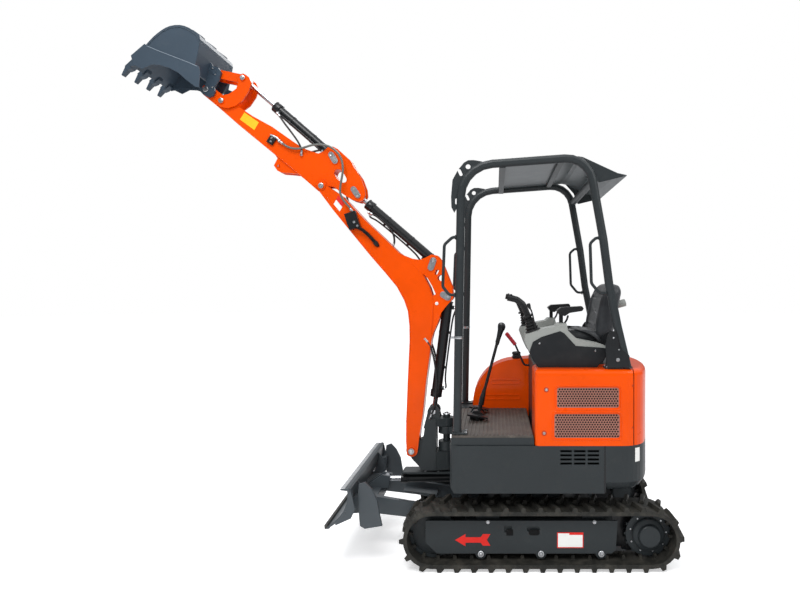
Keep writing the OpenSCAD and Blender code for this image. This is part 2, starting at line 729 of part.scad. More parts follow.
// Side consoles: the joystick's shell beside the seat
module console_outline() {
    polygon([[60, 1206], [92, 1290], [84, 1318], [-12, 1350], [-88, 1364], [-108, 1382], [-150, 1382],
        [-160, 1340],
        [-214, 1290], [-345, 1263], [-380, 1250], [-376, 1190], [-322, cover_top], [12, cover_top]]);
}

module console_left() {
    color(grey) side_plate(255, 395) console_outline();
}

module console_right() {
    color(grey) side_plate(-395, -255) console_outline();
}

// Joysticks: a rubber bellows of five folds and a grip that leans forward. The bent lever beside the
// seat works the blade.
module control_levers() {
    color(charcoal) {
        for (s = [-1, 1]) {
            translate([38, s * 325, 1333.7]) rotate([0, 18.4, 0]) rotate_extrude($fn = 32) polygon(concat(
                [[0, 0], [46, 0]], [for (k = [0:4]) each [[44 - k * 4.5, 6 + k * 17], [33 - k * 4,
                    14 + k * 17]]],
                [[22, 90], [0, 90]]));
            tube_along(rounded_path([[63, 1412], [98, 1492], [132, 1518], [186, 1530]], [0, 26, 26], 3),
                19, s * 325, 12);
        }
        tube_along(rounded_path([[cover_front - 10 + seat_gap, 1064], [62, 1064], [123, 1204], [183,
            1280]], [0, 25, 60], 3), 7, -215, 10);
        tube_along([[123, 1204], [183, 1280]], 12, -215, 12);
    }
}

// Two travel levers on one bracket, with a pedal either side
module travel_levers() {
    color(charcoal) for (s = [-1, 1]) translate([372, s * 60, floor_z + 0.2]) {
        side_plate(-32, 32) polygon([[-42, 0], [44, 0], [44, 24], [22, 52], [-18, 52], [-42, 30]]);
        rotate([0, -15, 0]) rotate_extrude($fn = 24) polygon([[0, 30], [12, 30], [12, 90], [8, 100], [8,
            500], [11, 530],
            [15, 560], [19, 580], [19, 596], [14, 608], [0, 612]]);
        translate([0, s * 62, 0]) side_plate(-30, 30) polygon([[-70, 22], [-66, 14], [60, 34], [58, 44]]);
        translate([0, s * 62, 0]) side_plate(-10, 10) polygon([[-12, 0], [12, 0], [8, 32], [-8, 30]]);
    }
}

// Armrests: a pad on a post a side
module armrests() {
    color(charcoal) for (s = [-1, 1]) {
        side_plate(s * 300 - 34, s * 300 + 34) polygon([[-102, 1454], [-127, 1472], [-249, 1479], [-259,
            1465], [-249, 1451],
            [-177, 1440], [-148, 1421], [-120, 1428]]);
        translate([-129, s * 300, 1382.2]) cylinder(r = 12, h = 46);
    }
}

rops_y = rops_span / 2;
lamp_hole = [412, 2270];
rops_side = [[474, floor_z + 0.8], [450, rops_front_z], [-268, rops_rear_z], [-352, 1856], [-385, 1600],
    [-432, 1367],
    [-487, cover_top + 6.2]];
rops_bends = [0, 190, 150, 300, 300, 300];
// Canopy: two bent tubes with lamp brackets, cross members and foot plates
module canopy_frame() {
    color(charcoal) {
        for (s = [-1, 1]) {
            tube_along(rounded_path(rops_side, rops_bends, 5), rops_d / 2, s * rops_y);
            side_plate(s * rops_y - 4, s * rops_y + 4) difference() {
                polygon([[490, 2010], [506, 2040], [508, 2100], [500, 2195], [470, 2250], [436, 2292],
                    [412, 2306], [380, 2307],
                    [315, 2296], [330, 2270], [400, 2200], [445, 2090]]);
                translate([lamp_hole.x, lamp_hole.y]) circle(r = 14);
                capsule([452, 2226], [462, 2248], 9);
                capsule([478, 2064], [478, 2084], 7);
            }
            side_plate(s * rops_y - 5, s * rops_y + 5) polygon([[-362, cover_top + 6.2], [-372, 1240],
                [-430, 1340],
                [-444, 1350], [-460, 1250], [-498, 1200], [-500, cover_top + 6.2]]);
            linear_extrude_at(cover_top + 0.3, cover_top + 8.3) translate([-500,
                s * 420 - 36]) square([140, 72]);
            linear_extrude_at(floor_z + 0.3, floor_z + 8.3) translate([416, s * 436 - 40]) square([86, 80]);
        }
        side_plate(-rops_y, rops_y) {
            polygon([[200, 2264], [234, 2264], [234, 2292.8], [200, 2294.5]]);
            polygon([[-136, 2304], [-104, 2304], [-104, 2321], [-136, 2323.5]]);
        }
        cross_bar([-300, 2200], rops_d / 2 - 2, -rops_y, rops_y);
    }
}

roof_half = rops_y - rops_d / 2 - 0.3;
// Roof sheet with its visor to the rear
module canopy_roof() {
    color(grey) side_plate(-roof_half, roof_half)
        polygon([[236, 2297], [-214, 2335], [-240, 2331], [-437, 2240], [-490, 2228], [-490, 2224], [-437,
            2235.6], [-239, 2326.6],
            [-214, 2330.8], [236, 2293]]);
}

// Grab handles on the front and rear posts
module grab_handles() {
    color(charcoal) for (s = [-1, 1]) {
        tube_along(rounded_path([[480.2, 1872], [500, 1872], [546, 1830], [555, 1592], [518, 1546], [485.4,
            1546]],
            [0, 30, 30, 30, 30], 3), 9, s * rops_y, 8);
        tube_along(rounded_path([[-324.5, 1868.8], [-308, 1865.9], [-277, 1838], [-284, 1612], [-330,
            1556], [-367.5, 1555.4]],
            [0, 18, 30, 30, 30], 3), 9, s * rops_y, 8);
    }
}

// Cast swing bracket: upper and lower lugs on the king pin, ears for the boom cylinder and a nose for
// the boom's foot
module swing_bracket() {
    color(charcoal) {
        difference() {
            union() {
                for (z = [[711, 761], [436, 553]]) translate([0, 0, z[0]]) linear_extrude(z[1] - z[0]) {
                    translate([king_x, 0]) circle(r = 50);
                    polygon([[king_x, -50], [king_x, 50], [650, 65], [690, 65], [690, -65], [650, -65]]);
                }
                for (z = [[436, 476], [524, 553]]) translate([0, 0, z[0]]) linear_extrude(z[1] - z[0]) {
                    translate(swing_eye) circle(r = 30);
                    polygon([[king_x - 48, 0], [swing_eye.x - 30, swing_eye.y], [swing_eye.x + 30,
                        swing_eye.y],
                        [king_x + 48, 0]]);
                }
                side_plate(-65, 65) polygon([[632, 436], [729, 440], [742, 470], [735, 500], [722, 584],
                    [704, 700], [700, 738], [632, 761]]);
                side_plate(-37, 37) polygon([[700, 437], [729, 440], [789, 503], [800, 530], [787, 594],
                    [700, 640]]);
                cross_bar([foot_x, foot_z], 37, -37, 37);
                for (s = [-1, 1]) side_plate(s * 40 - 15, s * 40 + 15)
                    polygon(concat(arc_points(bracket_eye, 38, -10, 200, 10), [[600, 740], [640, 700],
                        [712, 700]]));
            }
            translate([king_x, 0, 0]) cylinder(r = 25, h = 1000);
            translate([king_x + 45, -25, 622]) cube([200, 50, 300]);
        }
        translate([king_x, 0, 430]) cylinder(d = 45, h = king_top - 430);
        translate([king_x, 0, 711]) cylinder(r = 26, h = 50);
        translate([king_x, 0, 436]) cylinder(r = 26, h = 117);
        cross_bar([foot_x, foot_z], pin_d / 2, -72, 72);
    }
}

swing_base = [60, -150];
swing_eye = [570, -120];
swing_z = 500;
// The swing cylinder, flat under the deck
module swing_barrel() {
    color(charcoal) translate([0, 0, swing_z]) rotate([-90, 0, 0]) barrel(swing_base, swing_eye, 52, 330,
        40);
}

module swing_rod() {
    color(steel) translate([0, 0, swing_z]) rotate([-90, 0, 0]) rod(swing_base, swing_eye, 165, 40);
}

boom_front = [[69, -14], [164, 19], [239, 47], [426, 119], [659, 211], [754, 242], [844, 262], [916, 262],
    [1010, 246], [1111, 208], [1251, 151], [1408, 92], [1600, 21], [boom_len - 23, -26]];
boom_back = [[boom_len - 6, 32], [1670, 101], [1612, 130], [1469, 194], [1332, 267], [1226, 320], [1037,
    424],
    [943, 440], [841, 434], [744, 397], [615, 341], [524, 298], [388, 230], [205, 147], [88, 86]];
boom_ear = [[1227, 318], [1195, 340], [1148, 396], [1126, 437], [1128, 478], [1134, 520], [1114, 554],
    [1078, 566],
    [1003, 572], [897, 577], [826, 558], [793, 499], [765, 458], [714, 420], [658, 368], [614, 340], [900,
        380]];
// Puts a part drawn in the boom's own frame in its place at rest
module boom_place() {
    translate([foot_x, 0, foot_z]) rotate([0, -boom_rest, 0]) children();
}

// Boom: box beam with two ears for the cylinders' pins and a fork at the tip
module boom() {
    color(orange) boom_place() {
        difference() {
            union() {
                side_plate(-boom_w / 2, boom_w / 2) polygon(concat(arc_points([0, 0], 38, 110, 250, 10),
                    boom_front,
                    arc_points([boom_len, 0], 38, -60, 60, 8), boom_back));
                for (s = [-1, 1]) side_plate(s * 46 - 8, s * 46 + 8) difference() {
                    polygon(boom_ear);
                    polygon([[1030, 431], [998, 447], [938, 459], [888, 463], [884, 441], [943, 442],
                        [1036, 427]]);
                    translate([975, 526]) circle(r = 20);
                    capsule([1012, 508], [1024, 520], 9);
                }
                for (s = [-1, 1]) cross_bar([0, 0], 27, s * (boom_w / 2 + 2) - 4, s * (boom_w / 2 + 2) + 4);
                for (s = [-1, 1]) cross_bar([boom_len, 0], 27, s * (boom_w / 2 + 2) - 4,
                    s * (boom_w / 2 + 2) + 4);
            }
            side_plate(-38.5, 38.5) polygon([[-60, -60], [62, -60], [62, 120], [-60, 120]]);
            cross_bar([0, 0], pin_d / 2 + 0.05, -100, 100);
            side_plate(-46, 46) polygon([[boom_len - 72, -100], [boom_len + 60, -100], [boom_len + 60,
                100], [boom_len - 72, 100]]);
        }
    }
    color(steel) boom_place() {
        for (p = [boom_cyl_pin, arm_cyl_pin]) cross_bar(p, pin_d / 2, -62, 62);
        for (s = [-1, 1]) side_plate(s * 56.5 - 2.6, s * 56.5 + 2.6) {
            capsule(boom_cyl_pin, boom_cyl_pin + [26, -22], 20);
            capsule(arm_cyl_pin, arm_cyl_pin + [-37, -29], 20);
        }
        cross_bar([boom_len, 0], pin_d / 2, -66, 66);
    }
}

// Block where the boom's hoses meet
module boom_valve() {
    color(charcoal) boom_place() translate([1440, boom_w / 2 + 0.3, 85]) cube([105, 40, 72]);
}

// Boom cylinder, from the swing bracket to the ears
module boom_cyl_barrel() {
    color(charcoal) barrel(on_boom(boom_cyl_pin), bracket_eye, boom_cyl_d, 640, 72);
}

module boom_cyl_rod() {
    color(steel) rod(on_boom(boom_cyl_pin), bracket_eye, 62, 46);
}

// Arm cylinder, from the boom's ears to the arm's heel
module arm_cyl_barrel() {
    color(charcoal) barrel(on_boom(arm_cyl_pin), on_arm(arm_rod_pin), arm_cyl_d, 562, 72);
}

module arm_cyl_rod() {
    color(steel) rod(on_boom(arm_cyl_pin), on_arm(arm_rod_pin), 62, 50);
}

arm_top = [[726, 49], [625, 59], [481, 87], [324, 100], [278, 105], [227, 115], [151, 144], [135, 175],
    [130, 215],
    [108, 238], [74, 245], [24, 243], [-35, 241], [-71, 224], [-151, 201], [-215, 165], [-248, 133], [-256,
        99],
    [-245, 76], [-209, 60], [-175, 52], [-121, 46], [-61, 46]];
arm_under = [[20, -38], [93, -36], [213, -36], [378, -38], [648, -40], [829, -36]];
arm_slot = -84;
thumb_hole = [296, -79];
// Puts a part drawn in the arm's own frame in its place at rest
module arm_place() {
    translate([arm_pin.x, 0, arm_pin.y]) rotate([0, -arm_rest, 0]) children();
}

// Arm: tapered box beam with a curved heel plate, its window and a thumb bracket
module arm() {
    color(orange) arm_place() {
        difference() {
            union() {
                side_plate(-arm_w / 2, arm_w / 2) polygon(concat(arc_points([0, 0], 38, 140, 270, 8),
                    arm_under,
                    arc_points([arm_len, 0], 38, -80, 110, 10), [[827, 42]], arm_top));
                for (s = [-1, 1]) side_plate(s * 30 - 8, s * 30 + 8) polygon([[373, -33], [332, -46], [321,
                    -95], [283, -106],
                    [255, -99], [218, -72], [160, -33]]);
            }
            side_plate(-29, 29) translate([arm_rod_pin.x - 90, -10]) square([arm_slot - arm_rod_pin.x + 90,
                220]);
            side_plate(-38, 38) translate([bucket_cyl_pin.x - 45, bucket_cyl_pin.y - 45]) square([140,
                130]);
            cross_bar([arm_len, 0], pin_d / 2 + 0.05, -100, 100);
            cross_bar([0, 0], pin_d / 2 + 0.05, -100, 100);
            cross_bar(thumb_hole, 11, -100, 100);
            side_plate(-100, 100) polygon(curve_points([[-7, 111], [0, 135], [-22, 156], [-59, 148], [-90,
                136], [-98, 116],
                [-79, 98], [-40, 98], [-7, 111]], 2));
        }
    }
    color(steel) arm_place() {
        for (s = [-1, 1]) side_plate(s * 47.5 - 2.6, s * 47.5 + 2.6) {
            capsule(arm_rod_pin, arm_rod_pin + [46, 13], 18);
            capsule(bucket_cyl_pin, bucket_cyl_pin + [-45, -15], 18);
        }
        for (s = [-1, 1]) cross_bar(arm_rod_pin, pin_d / 2, s * 47.5 - 6, s * 47.5 + 6);
        cross_bar(bucket_cyl_pin, pin_d / 2, -53, 53);
        cross_bar(rocker_pin, pin_d / 2, -67, 67);
        for (s = [-1, 1]) cross_bar(rocker_pin, 20, s * 65 - 2, s * 65 + 2);
    }
}

// Bucket cylinder, from the arm's heel to the rocker
module bucket_cyl_barrel() {
    color(charcoal) barrel(on_arm(bucket_cyl_pin), on_arm(link_pin), arm_cyl_d, 490, 72);
}

module bucket_cyl_rod() {
    color(steel) rod(on_arm(bucket_cyl_pin), on_arm(link_pin), 160, 46);
}

// Pair of curved rocker plates either side of the arm
module rocker() {
    color(orange) arm_place() translate([rocker_pin.x, 0, rocker_pin.y]) for (s = [-1, 1])
        side_plate(s * 56 - 6, s * 56 + 6) difference() {
            rocker_outline();
            circle(r = pin_bore);
        }
    color(steel) arm_place() for (s = [-1, 1]) cross_bar(link_pin, pin_d / 2, s * 60 - 9, s * 60 + 9);
}

// Rocker and link that turn the bucket
module rocker_outline() {
    polygon([[-14, 225], [-40, 226], [-72, 211], [-94, 154], [-101, 86], [-87, 32], [-60, -10], [-18, -34],
        [14, -32],
        [30, -5], [28, 15], [-10, 66], [-23, 120], [-8, 155], [12, 175], [16, 200], [6, 220]]);
}

module link() {
    l = span2(link_pin, bucket_link_pin);
    color(orange) translate([on_arm(link_pin).x, 0, on_arm(link_pin).y])
        rotate([0, -heading(on_arm(link_pin), on_arm(bucket_link_pin)), 0]) {
            for (s = [-1, 1]) side_plate(s * 37 - 8, s * 37 + 8) difference() {
                capsule([0, 0], [l, 0], 27);
                translate([l, 0]) circle(r = pin_bore);
            }
            side_plate(-30, 30) translate([l - 82, -12]) square([48, 24]);
        }
}

// Side view of the bucket's shell, from the hinge corner over the back and the bowl to the lip
bucket_bowl = [[4, 98], [2, 253], [28, 284], [81, 309], [137, 316], [196, 299], [240, 266], [283, 217],
    [316, 165],
    [341, 120], [398, 30]];
bucket_mouth = [[385, 18], [335, 36], [253, 58], [185, 56], [118, 43], [66, 14], [30, -6], [10, 10]];
shell_t = 10;
bucket_ear_pin = turn2(on_arm(bucket_link_pin) - bucket_pin, -bucket_rest);
nose_gap = 56;
// Puts a part drawn in the bucket's own frame in its place at rest
module bucket_place() {
    translate([bucket_pin.x, 0, bucket_pin.y]) rotate([0, -bucket_rest, 0]) children();
}

// The bowl's outside and its hollow
module bowl_outside() {
    polygon(concat(curve_points(bucket_bowl, 2), bucket_mouth));
}

module bowl_inside() {
    polygon(concat(
        curve_points([[14, 98], [12, 249], [34, 275], [84, 299], [137, 306], [192, 290], [233, 259], [275,
            211],
            [307, 160], [332, 116], [388, 24]], 2), [[450, -80], [60, -80], [22, 20]]));
}

// Bucket: rolled shell with side plates, ears for its pins and a toothed lip
module bucket() {
    color(slate) bucket_place() {
        difference() {
            side_plate(-bucket_w / 2, bucket_w / 2) bowl_outside();
            side_plate(-bucket_w / 2 + shell_t, bucket_w / 2 - shell_t) bowl_inside();
            side_plate(-bucket_w / 2 + shell_t, bucket_w / 2 - shell_t) circle(r = nose_gap);
        }
        for (s = [-1, 1]) side_plate(s * 57 - 8, s * 57 + 8) difference() {
            polygon([[48, 4], [30, -20], [11, -34], [-25, -46], [-52, -30], [-58, 0], [-49, 23], [-70, 80],
                [-76, 124], [-52, 150],
                [-20, 152], [2, 175], [4, 98], [10, 10]]);
            circle(d = pin_d + 0.1);
        }
    }
    color(steel) bucket_place() for (p = [[0, 0], bucket_ear_pin]) cross_bar(p, pin_d / 2, -70, 70);
}

// Four cast teeth on the lip and a bolted cutter on each side plate
module bucket_teeth() {
    color(slate) bucket_place() {
        for (i = [0:3]) translate([0, 34 - bucket_w / 2 + i * (bucket_w - 68) / 3, 0]) {
            side_plate(-22, 22) difference() {
                polygon([[370, 96], [364, 90], [372, 34], [392, 8], [412, -4], [430, 16], [406, 48]]);
                offset(delta = seat_gap) difference() {
                    bowl_outside();
                    bowl_inside();
                }
            }
            side_plate(-16, 16) polygon([[412, -4], [438, -42], [444, -38], [430, 16]]);
        }
    }
}

at_slew() centre_frame();
at_slew() track_frames();
at_slew() track_left();
at_slew() track_right();
at_slew() idlers();
at_slew() rollers();
at_slew() sprockets();
at_slew() travel_motors();
at_slew() turntable_frame();
at_slew() counterweight();
at_slew() floor_mat();
at_slew() left_cover();
at_slew() cover_grilles();
at_slew() right_cover();
at_slew() seat_base();
at_slew() rear_bonnet();
at_slew() engine_block();
at_slew() seat();
at_slew() console_left();
at_slew() console_right();
at_slew() control_levers();
at_slew() travel_levers();
at_slew() armrests();
at_slew() canopy_frame();
at_slew() canopy_roof();
at_slew() grab_handles();
at_slew() swing_bracket();
at_slew() swing_barrel();
at_slew() swing_rod();
at_slew() boom();
at_slew() boom_valve();
at_slew() boom_cyl_barrel();
at_slew() boom_cyl_rod();
at_slew() arm_cyl_barrel();
at_slew() arm_cyl_rod();
at_slew() arm();
at_slew() bucket_cyl_barrel();
at_slew() bucket_cyl_rod();
at_slew() rocker();
at_slew() link();
at_slew() bucket();
at_slew() bucket_teeth();
at_slew() blade();
at_slew() blade_barrel();
at_slew() blade_rod();
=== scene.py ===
import math
import bpy
import numpy as np
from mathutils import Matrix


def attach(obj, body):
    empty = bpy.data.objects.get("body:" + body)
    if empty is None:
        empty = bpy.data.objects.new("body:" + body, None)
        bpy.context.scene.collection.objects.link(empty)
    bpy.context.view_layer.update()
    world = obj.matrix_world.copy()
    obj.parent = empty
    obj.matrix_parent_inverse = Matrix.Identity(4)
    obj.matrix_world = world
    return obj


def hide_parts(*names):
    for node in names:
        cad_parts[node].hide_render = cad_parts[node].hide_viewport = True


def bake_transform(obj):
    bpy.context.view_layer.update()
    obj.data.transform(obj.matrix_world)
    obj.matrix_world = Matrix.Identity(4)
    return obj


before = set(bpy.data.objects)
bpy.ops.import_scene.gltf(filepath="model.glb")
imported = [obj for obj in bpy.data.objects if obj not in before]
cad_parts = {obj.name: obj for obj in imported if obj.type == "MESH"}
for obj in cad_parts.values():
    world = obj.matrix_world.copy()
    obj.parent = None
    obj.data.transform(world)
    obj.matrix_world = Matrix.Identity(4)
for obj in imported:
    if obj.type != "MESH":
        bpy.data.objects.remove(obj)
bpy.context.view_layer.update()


# The studio: a pale floor, a bright even sky and four soft lamps
# The photograph was taken square on to the machine's left side, from 3.7 m away and a little
# over its middle height, with the lens moved sideways and slightly up.
def linear(code, alpha=1.0):
    """An sRGB hex colour as linear red, green, blue and alpha."""
    part = np.array([int(code[i : i + 2], 16) for i in (1, 3, 5)]) / 255
    light = np.where(part <= 0.04045, part / 12.92, ((part + 0.055) / 1.055) ** 2.4)
    return (*light.tolist(), alpha)


def add_node(tree, kind, settings=(), links=()):
    """One shader node with its settings, by input or property name, and the outputs fed to it."""
    made = tree.nodes.new("ShaderNode" + kind)
    for key, value in dict(settings).items():
        if isinstance(key, int) or key in made.inputs:
            made.inputs[key].default_value = value
        else:
            setattr(made, key, value)
    for key, source in dict(links).items():
        tree.links.new(source, made.inputs[key])
    return made


def new_tree(holder):
    """An empty node tree of a material or world, with its output."""
    holder.use_nodes = True
    tree = holder.node_tree
    tree.nodes.clear()
    kind = "OutputWorld" if isinstance(holder, bpy.types.World) else "OutputMaterial"
    return tree, add_node(tree, kind)


def new_finish(name):
    """An empty material with its tree, its output and the object's own coordinates."""
    made = bpy.data.materials.new(name)
    tree, out = new_tree(made)
    return made, tree, out, add_node(tree, "TexCoord").outputs["Object"]


def scaled(colour, by):
    """A hex colour with its linear parts multiplied, up to 1."""
    return (*np.minimum(np.array(linear(colour)[:3]) * by, 1), 1)


def ramp(tree, source, *stops):
    """The hue that a value has on a ramp of two stops, each (position, linear colour)."""
    made = add_node(tree, "ValToRGB", {}, {0: source})
    for stop, (position, colour) in zip(made.color_ramp.elements, stops):
        stop.position = position
        stop.color = colour
    return made.outputs[0]


def bloomed(tree, patch, low, high, share, bloom):
    """A mix of a base, left open, with a bloom's hue: none of it where the patches are under
    low, and its share where they are over high."""
    settle = add_node(tree, "MapRange", {"From Min": low, "From Max": high, "To Min": 0.0, "To Max": share},
                      {"Value": patch.outputs["Fac"]})
    return add_node(tree, "Mix", {"data_type": "RGBA", 7: linear(bloom)}, {0: settle.outputs[0]})


def finished(tree, out, settings, hue, bump, gloss=None):
    """Closes a finish: the surface shader with its hue, its bump and, if given, its gloss."""
    links = {"Base Color": hue, "Normal": bump.outputs[0]}
    if gloss:
        links["Roughness"] = gloss.outputs[0]
    surface = add_node(tree, "BsdfPrincipled", settings, links)
    tree.links.new(surface.outputs[0], out.inputs["Surface"])


def put(name, points, faces, smooth=False):
    """A mesh object from an array of points and a list of faces."""
    mesh = bpy.data.meshes.new(name)
    mesh.from_pydata(np.asarray(points, float).tolist(), [], [list(f) for f in faces])
    mesh.polygons.foreach_set("use_smooth", np.full(len(mesh.polygons), smooth))
    made = bpy.data.objects.new(name, mesh)
    bpy.context.scene.collection.objects.link(made)
    return made


SLEW = -0.878  # X of the slewing axis, in metres
SIDES = ((1, "left"), (-1, "right"))
PHOTO_WIDTH = 800  # in pixels
FOCAL = 580  # the photograph's focal length, in pixels
scene = bpy.context.scene
scene.view_settings.view_transform = "Standard"

lens = bpy.data.cameras.new("camera")
lens.sensor_width = 36
lens.lens = lens.sensor_width * FOCAL / PHOTO_WIDTH
lens.shift_x = -95 / PHOTO_WIDTH
lens.shift_y = -10 / PHOTO_WIDTH
lens.clip_end = 200
camera = bpy.data.objects.new("camera", lens)
camera.location = (SLEW + 0.26, 3.72, 1.574)
camera.rotation_euler = (math.radians(90), 0, math.radians(180))
scene.collection.objects.link(camera)
scene.camera = camera

for name, place, size, power in (
    ("lamp_key", (0.9, 4.4, 7.0), 3.0, 270),
    ("lamp_rear", (-4.6, 2.4, 4.6), 2.6, 70),
    ("lamp_back", (0.5, -4.4, 5.4), 3.0, 110),
    ("lamp_fill", (0.4, 6.0, 1.9), 3.4, 42),
):
    glow = bpy.data.lights.new(name, "AREA")
    glow.size = size
    glow.energy = power
    lamp = bpy.data.objects.new(name, glow)
    lamp.location = place
    aim = np.array((-0.2, 0, 1.2)) - np.array(place)
    lamp.rotation_euler = (
        math.atan2(math.hypot(aim[0], aim[1]), -aim[2]),
        0,
        math.atan2(aim[1], aim[0]) - math.pi / 2,
    )
    scene.collection.objects.link(lamp)
    lamp.visible_glossy = name != "lamp_fill"

sky = bpy.data.worlds.new("studio_sky")
scene.world = sky
tree, out = new_tree(sky)
seen = add_node(tree, "LightPath")
height = add_node(tree, "SeparateXYZ", {}, {0: add_node(tree, "TexCoord").outputs["Generated"]})
above = add_node(tree, "MapRange", {"From Min": 0.1, "From Max": 0.75, "To Min": 0.16, "To Max": 1.25},
                 {"Value": height.outputs["Z"]})
open_sky = add_node(tree, "Background", {"Color": linear("#ffffff"), "Strength": 1.0})
fill = add_node(tree, "Background", {"Color": linear("#f4f6fa"), "Strength": 0.74})
softbox = add_node(tree, "Background", {"Color": linear("#fbfcff")}, {"Strength": above.outputs[0]})
lit = add_node(tree, "MixShader", {},
               {0: seen.outputs["Is Glossy Ray"], 1: fill.outputs[0], 2: softbox.outputs[0]})
picked = add_node(tree, "MixShader", {},
                  {0: seen.outputs["Is Camera Ray"], 1: lit.outputs[0], 2: open_sky.outputs[0]})
tree.links.new(picked.outputs[0], out.inputs["Surface"])

floor_cloth = bpy.data.materials.new("pale_floor")
tree, out = new_tree(floor_cloth)
seen = add_node(tree, "LightPath")
cloth = add_node(tree, "BsdfDiffuse", {"Color": linear("#eeeeee")})
lift = add_node(tree, "Emission", {"Color": linear("#ffffff"), "Strength": 0.46})
both = add_node(tree, "AddShader", {}, {0: cloth.outputs[0], 1: lift.outputs[0]})
picked = add_node(tree, "MixShader", {},
                  {0: seen.outputs["Is Camera Ray"], 1: cloth.outputs[0], 2: both.outputs[0]})
tree.links.new(picked.outputs[0], out.inputs["Surface"])
turn = np.linspace(0, 2 * np.pi, 96, endpoint=False)
floor = put("floor", np.column_stack([40 * np.cos(turn), 40 * np.sin(turn), 0 * turn]), [range(96)])
floor.data.materials.append(floor_cloth)


# Enamelled frames: everything in charcoal paint
# Welded steel plate with a coat of charcoal enamel, slightly textured. The frame under the
# deck, the tracks' frames, the canopy's tubes and the boom's bracket all have it. The blade
# has a lighter copy of it: painted light, brightening faces that get little lamp light.
def painted(name, colour, rough, grain, dust, depth=0.12, coat=0.0, glint="#ffffff", shine=0.3):
    """Enamel on steel: colour drifts a little over 300 mm, a fine grain of that size in metres
    roughens it, and pale dust gathers in soft patches. Edges are rounded over 2 mm by a bevel.
    Glint is the hue of its dull reflections and shine their level."""
    paint, tree, out, place = new_finish(name)
    drift = add_node(tree, "TexNoise", {"Scale": 3.3, "Detail": 3.0, "Roughness": 0.6}, {"Vector": place})
    patch = add_node(tree, "TexNoise", {"Scale": 11.0, "Detail": 6.0, "Roughness": 0.7}, {"Vector": place})
    fine = add_node(tree, "TexNoise", {"Scale": 1 / grain, "Detail": 2.0}, {"Vector": place})
    hue = ramp(tree, drift.outputs["Fac"], (0.3, scaled(colour, 0.92)), (0.7, scaled(colour, 1.07)))
    dusty = bloomed(tree, patch, 0.55, 0.85, dust, "#a39a8c")
    tree.links.new(hue, dusty.inputs[6])
    gloss = add_node(tree, "MapRange", {"To Min": rough - 0.05, "To Max": rough + 0.09},
                     {"Value": patch.outputs["Fac"]})
    soft = add_node(tree, "Bevel", {"Radius": 0.002, "samples": 3})
    bump = add_node(tree, "Bump", {"Strength": depth, "Distance": grain * 0.3},
                    {"Height": fine.outputs["Fac"], "Normal": soft.outputs[0]})
    settings = {"Coat Weight": coat, "Coat Roughness": 0.1, "Specular Tint": linear(glint),
                "Specular IOR Level": shine}
    finished(tree, out, settings, dusty.outputs[2], bump, gloss)
    return paint


def dress(finish, *nodes):
    """Gives CAD nodes their finish."""
    for name in nodes:
        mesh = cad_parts[name].data
        mesh.materials.clear()
        mesh.materials.append(finish)


charcoal_enamel = painted("charcoal_enamel", "#292e30", 0.38, 0.0012, 0.03)
dress(charcoal_enamel, "centre_frame", "track_frames", "idlers", "travel_motors",
      "turntable_frame", "counterweight", "seat_base", "canopy_frame", "grab_handles",
      "swing_bracket")
# A lighter copy of the charcoal enamel for the blade and its gussets: painted light on faces that lie in
# shade.
blade_lightened_charcoal = painted("blade_lightened_charcoal", "#454b4f", 0.32, 0.0012, 0.04)
dress(blade_lightened_charcoal, "blade")
roof_enamel = painted("roof_enamel", "#4c5254", 0.28, 0.0012, 0.03)
dress(roof_enamel, "canopy_roof")


# Orange covers, boom and arm
# Pressed covers and welded box beams in glossy orange machine enamel, with the faint orange
# peel that spraying leaves.
orange_enamel = painted("orange_enamel", "#e64c03", 0.27, 0.0025, 0.0, 0.05, 0.22, "#ff7a30", 0.5)
# The grilles' plate is the orange enamel darkened and browned: painted shade over the cover's orange.
grille_shaded_orange = painted("grille_shaded_orange", "#a06f61", 0.35, 0.0012, 0.03)
dress(grille_shaded_orange, "cover_grilles")
dress(orange_enamel, "left_cover", "right_cover", "rear_bonnet", "boom", "arm", "rocker", "link")


# Bucket
# Welded wear plate in slate satin paint, cast teeth.
slate_satin = painted("slate_satin", "#3a4753", 0.30, 0.0015, 0.04)
dress(slate_satin, "bucket", "bucket_teeth")


# Cylinders and valve blocks
# Cold drawn tube in black satin paint, hard chrome rods.
black_satin = painted("black_satin", "#16181a", 0.30, 0.001, 0.02, 0.12, 0.15)
dress(black_satin, "boom_cyl_barrel", "arm_cyl_barrel", "bucket_cyl_barrel", "swing_barrel",
      "blade_barrel", "boom_valve")


def bare_metal(name, colour, rough, grain):
    """Uncoated metal: a hue that shifts a little over 20 mm, and fine scratches of the grain's
    size in metres."""
    metal, tree, out, place = new_finish(name)
    fine = add_node(tree, "TexNoise", {"Scale": 1 / grain, "Detail": 3.0}, {"Vector": place})
    patch = add_node(tree, "TexNoise", {"Scale": 50.0, "Detail": 4.0}, {"Vector": place})
    hue = ramp(tree, patch.outputs["Fac"], (0.35, scaled(colour, 0.8)), (0.65, scaled(colour, 1.1)))
    gloss = add_node(tree, "MapRange", {"To Min": max(rough - 0.08, 0.03), "To Max": rough + 0.1},
                     {"Value": fine.outputs["Fac"]})
    bump = add_node(tree, "Bump", {"Strength": 0.08, "Distance": grain * 0.2},
                    {"Height": fine.outputs["Fac"]})
    finished(tree, out, {"Metallic": 1.0}, hue, bump, gloss)
    return metal


hard_chrome = bare_metal("hard_chrome", "#c9ccd0", 0.12, 0.001)
dress(hard_chrome, "boom_cyl_rod", "arm_cyl_rod", "bucket_cyl_rod", "swing_rod", "blade_rod")
worn_steel = bare_metal("worn_steel", "#4c4b49", 0.42, 0.0015)
dress(worn_steel, "rollers")
dress(charcoal_enamel, "sprockets")
cast_iron = bare_metal("cast_iron", "#5a5b5d", 0.6, 0.003)
dress(cast_iron, "engine_block")


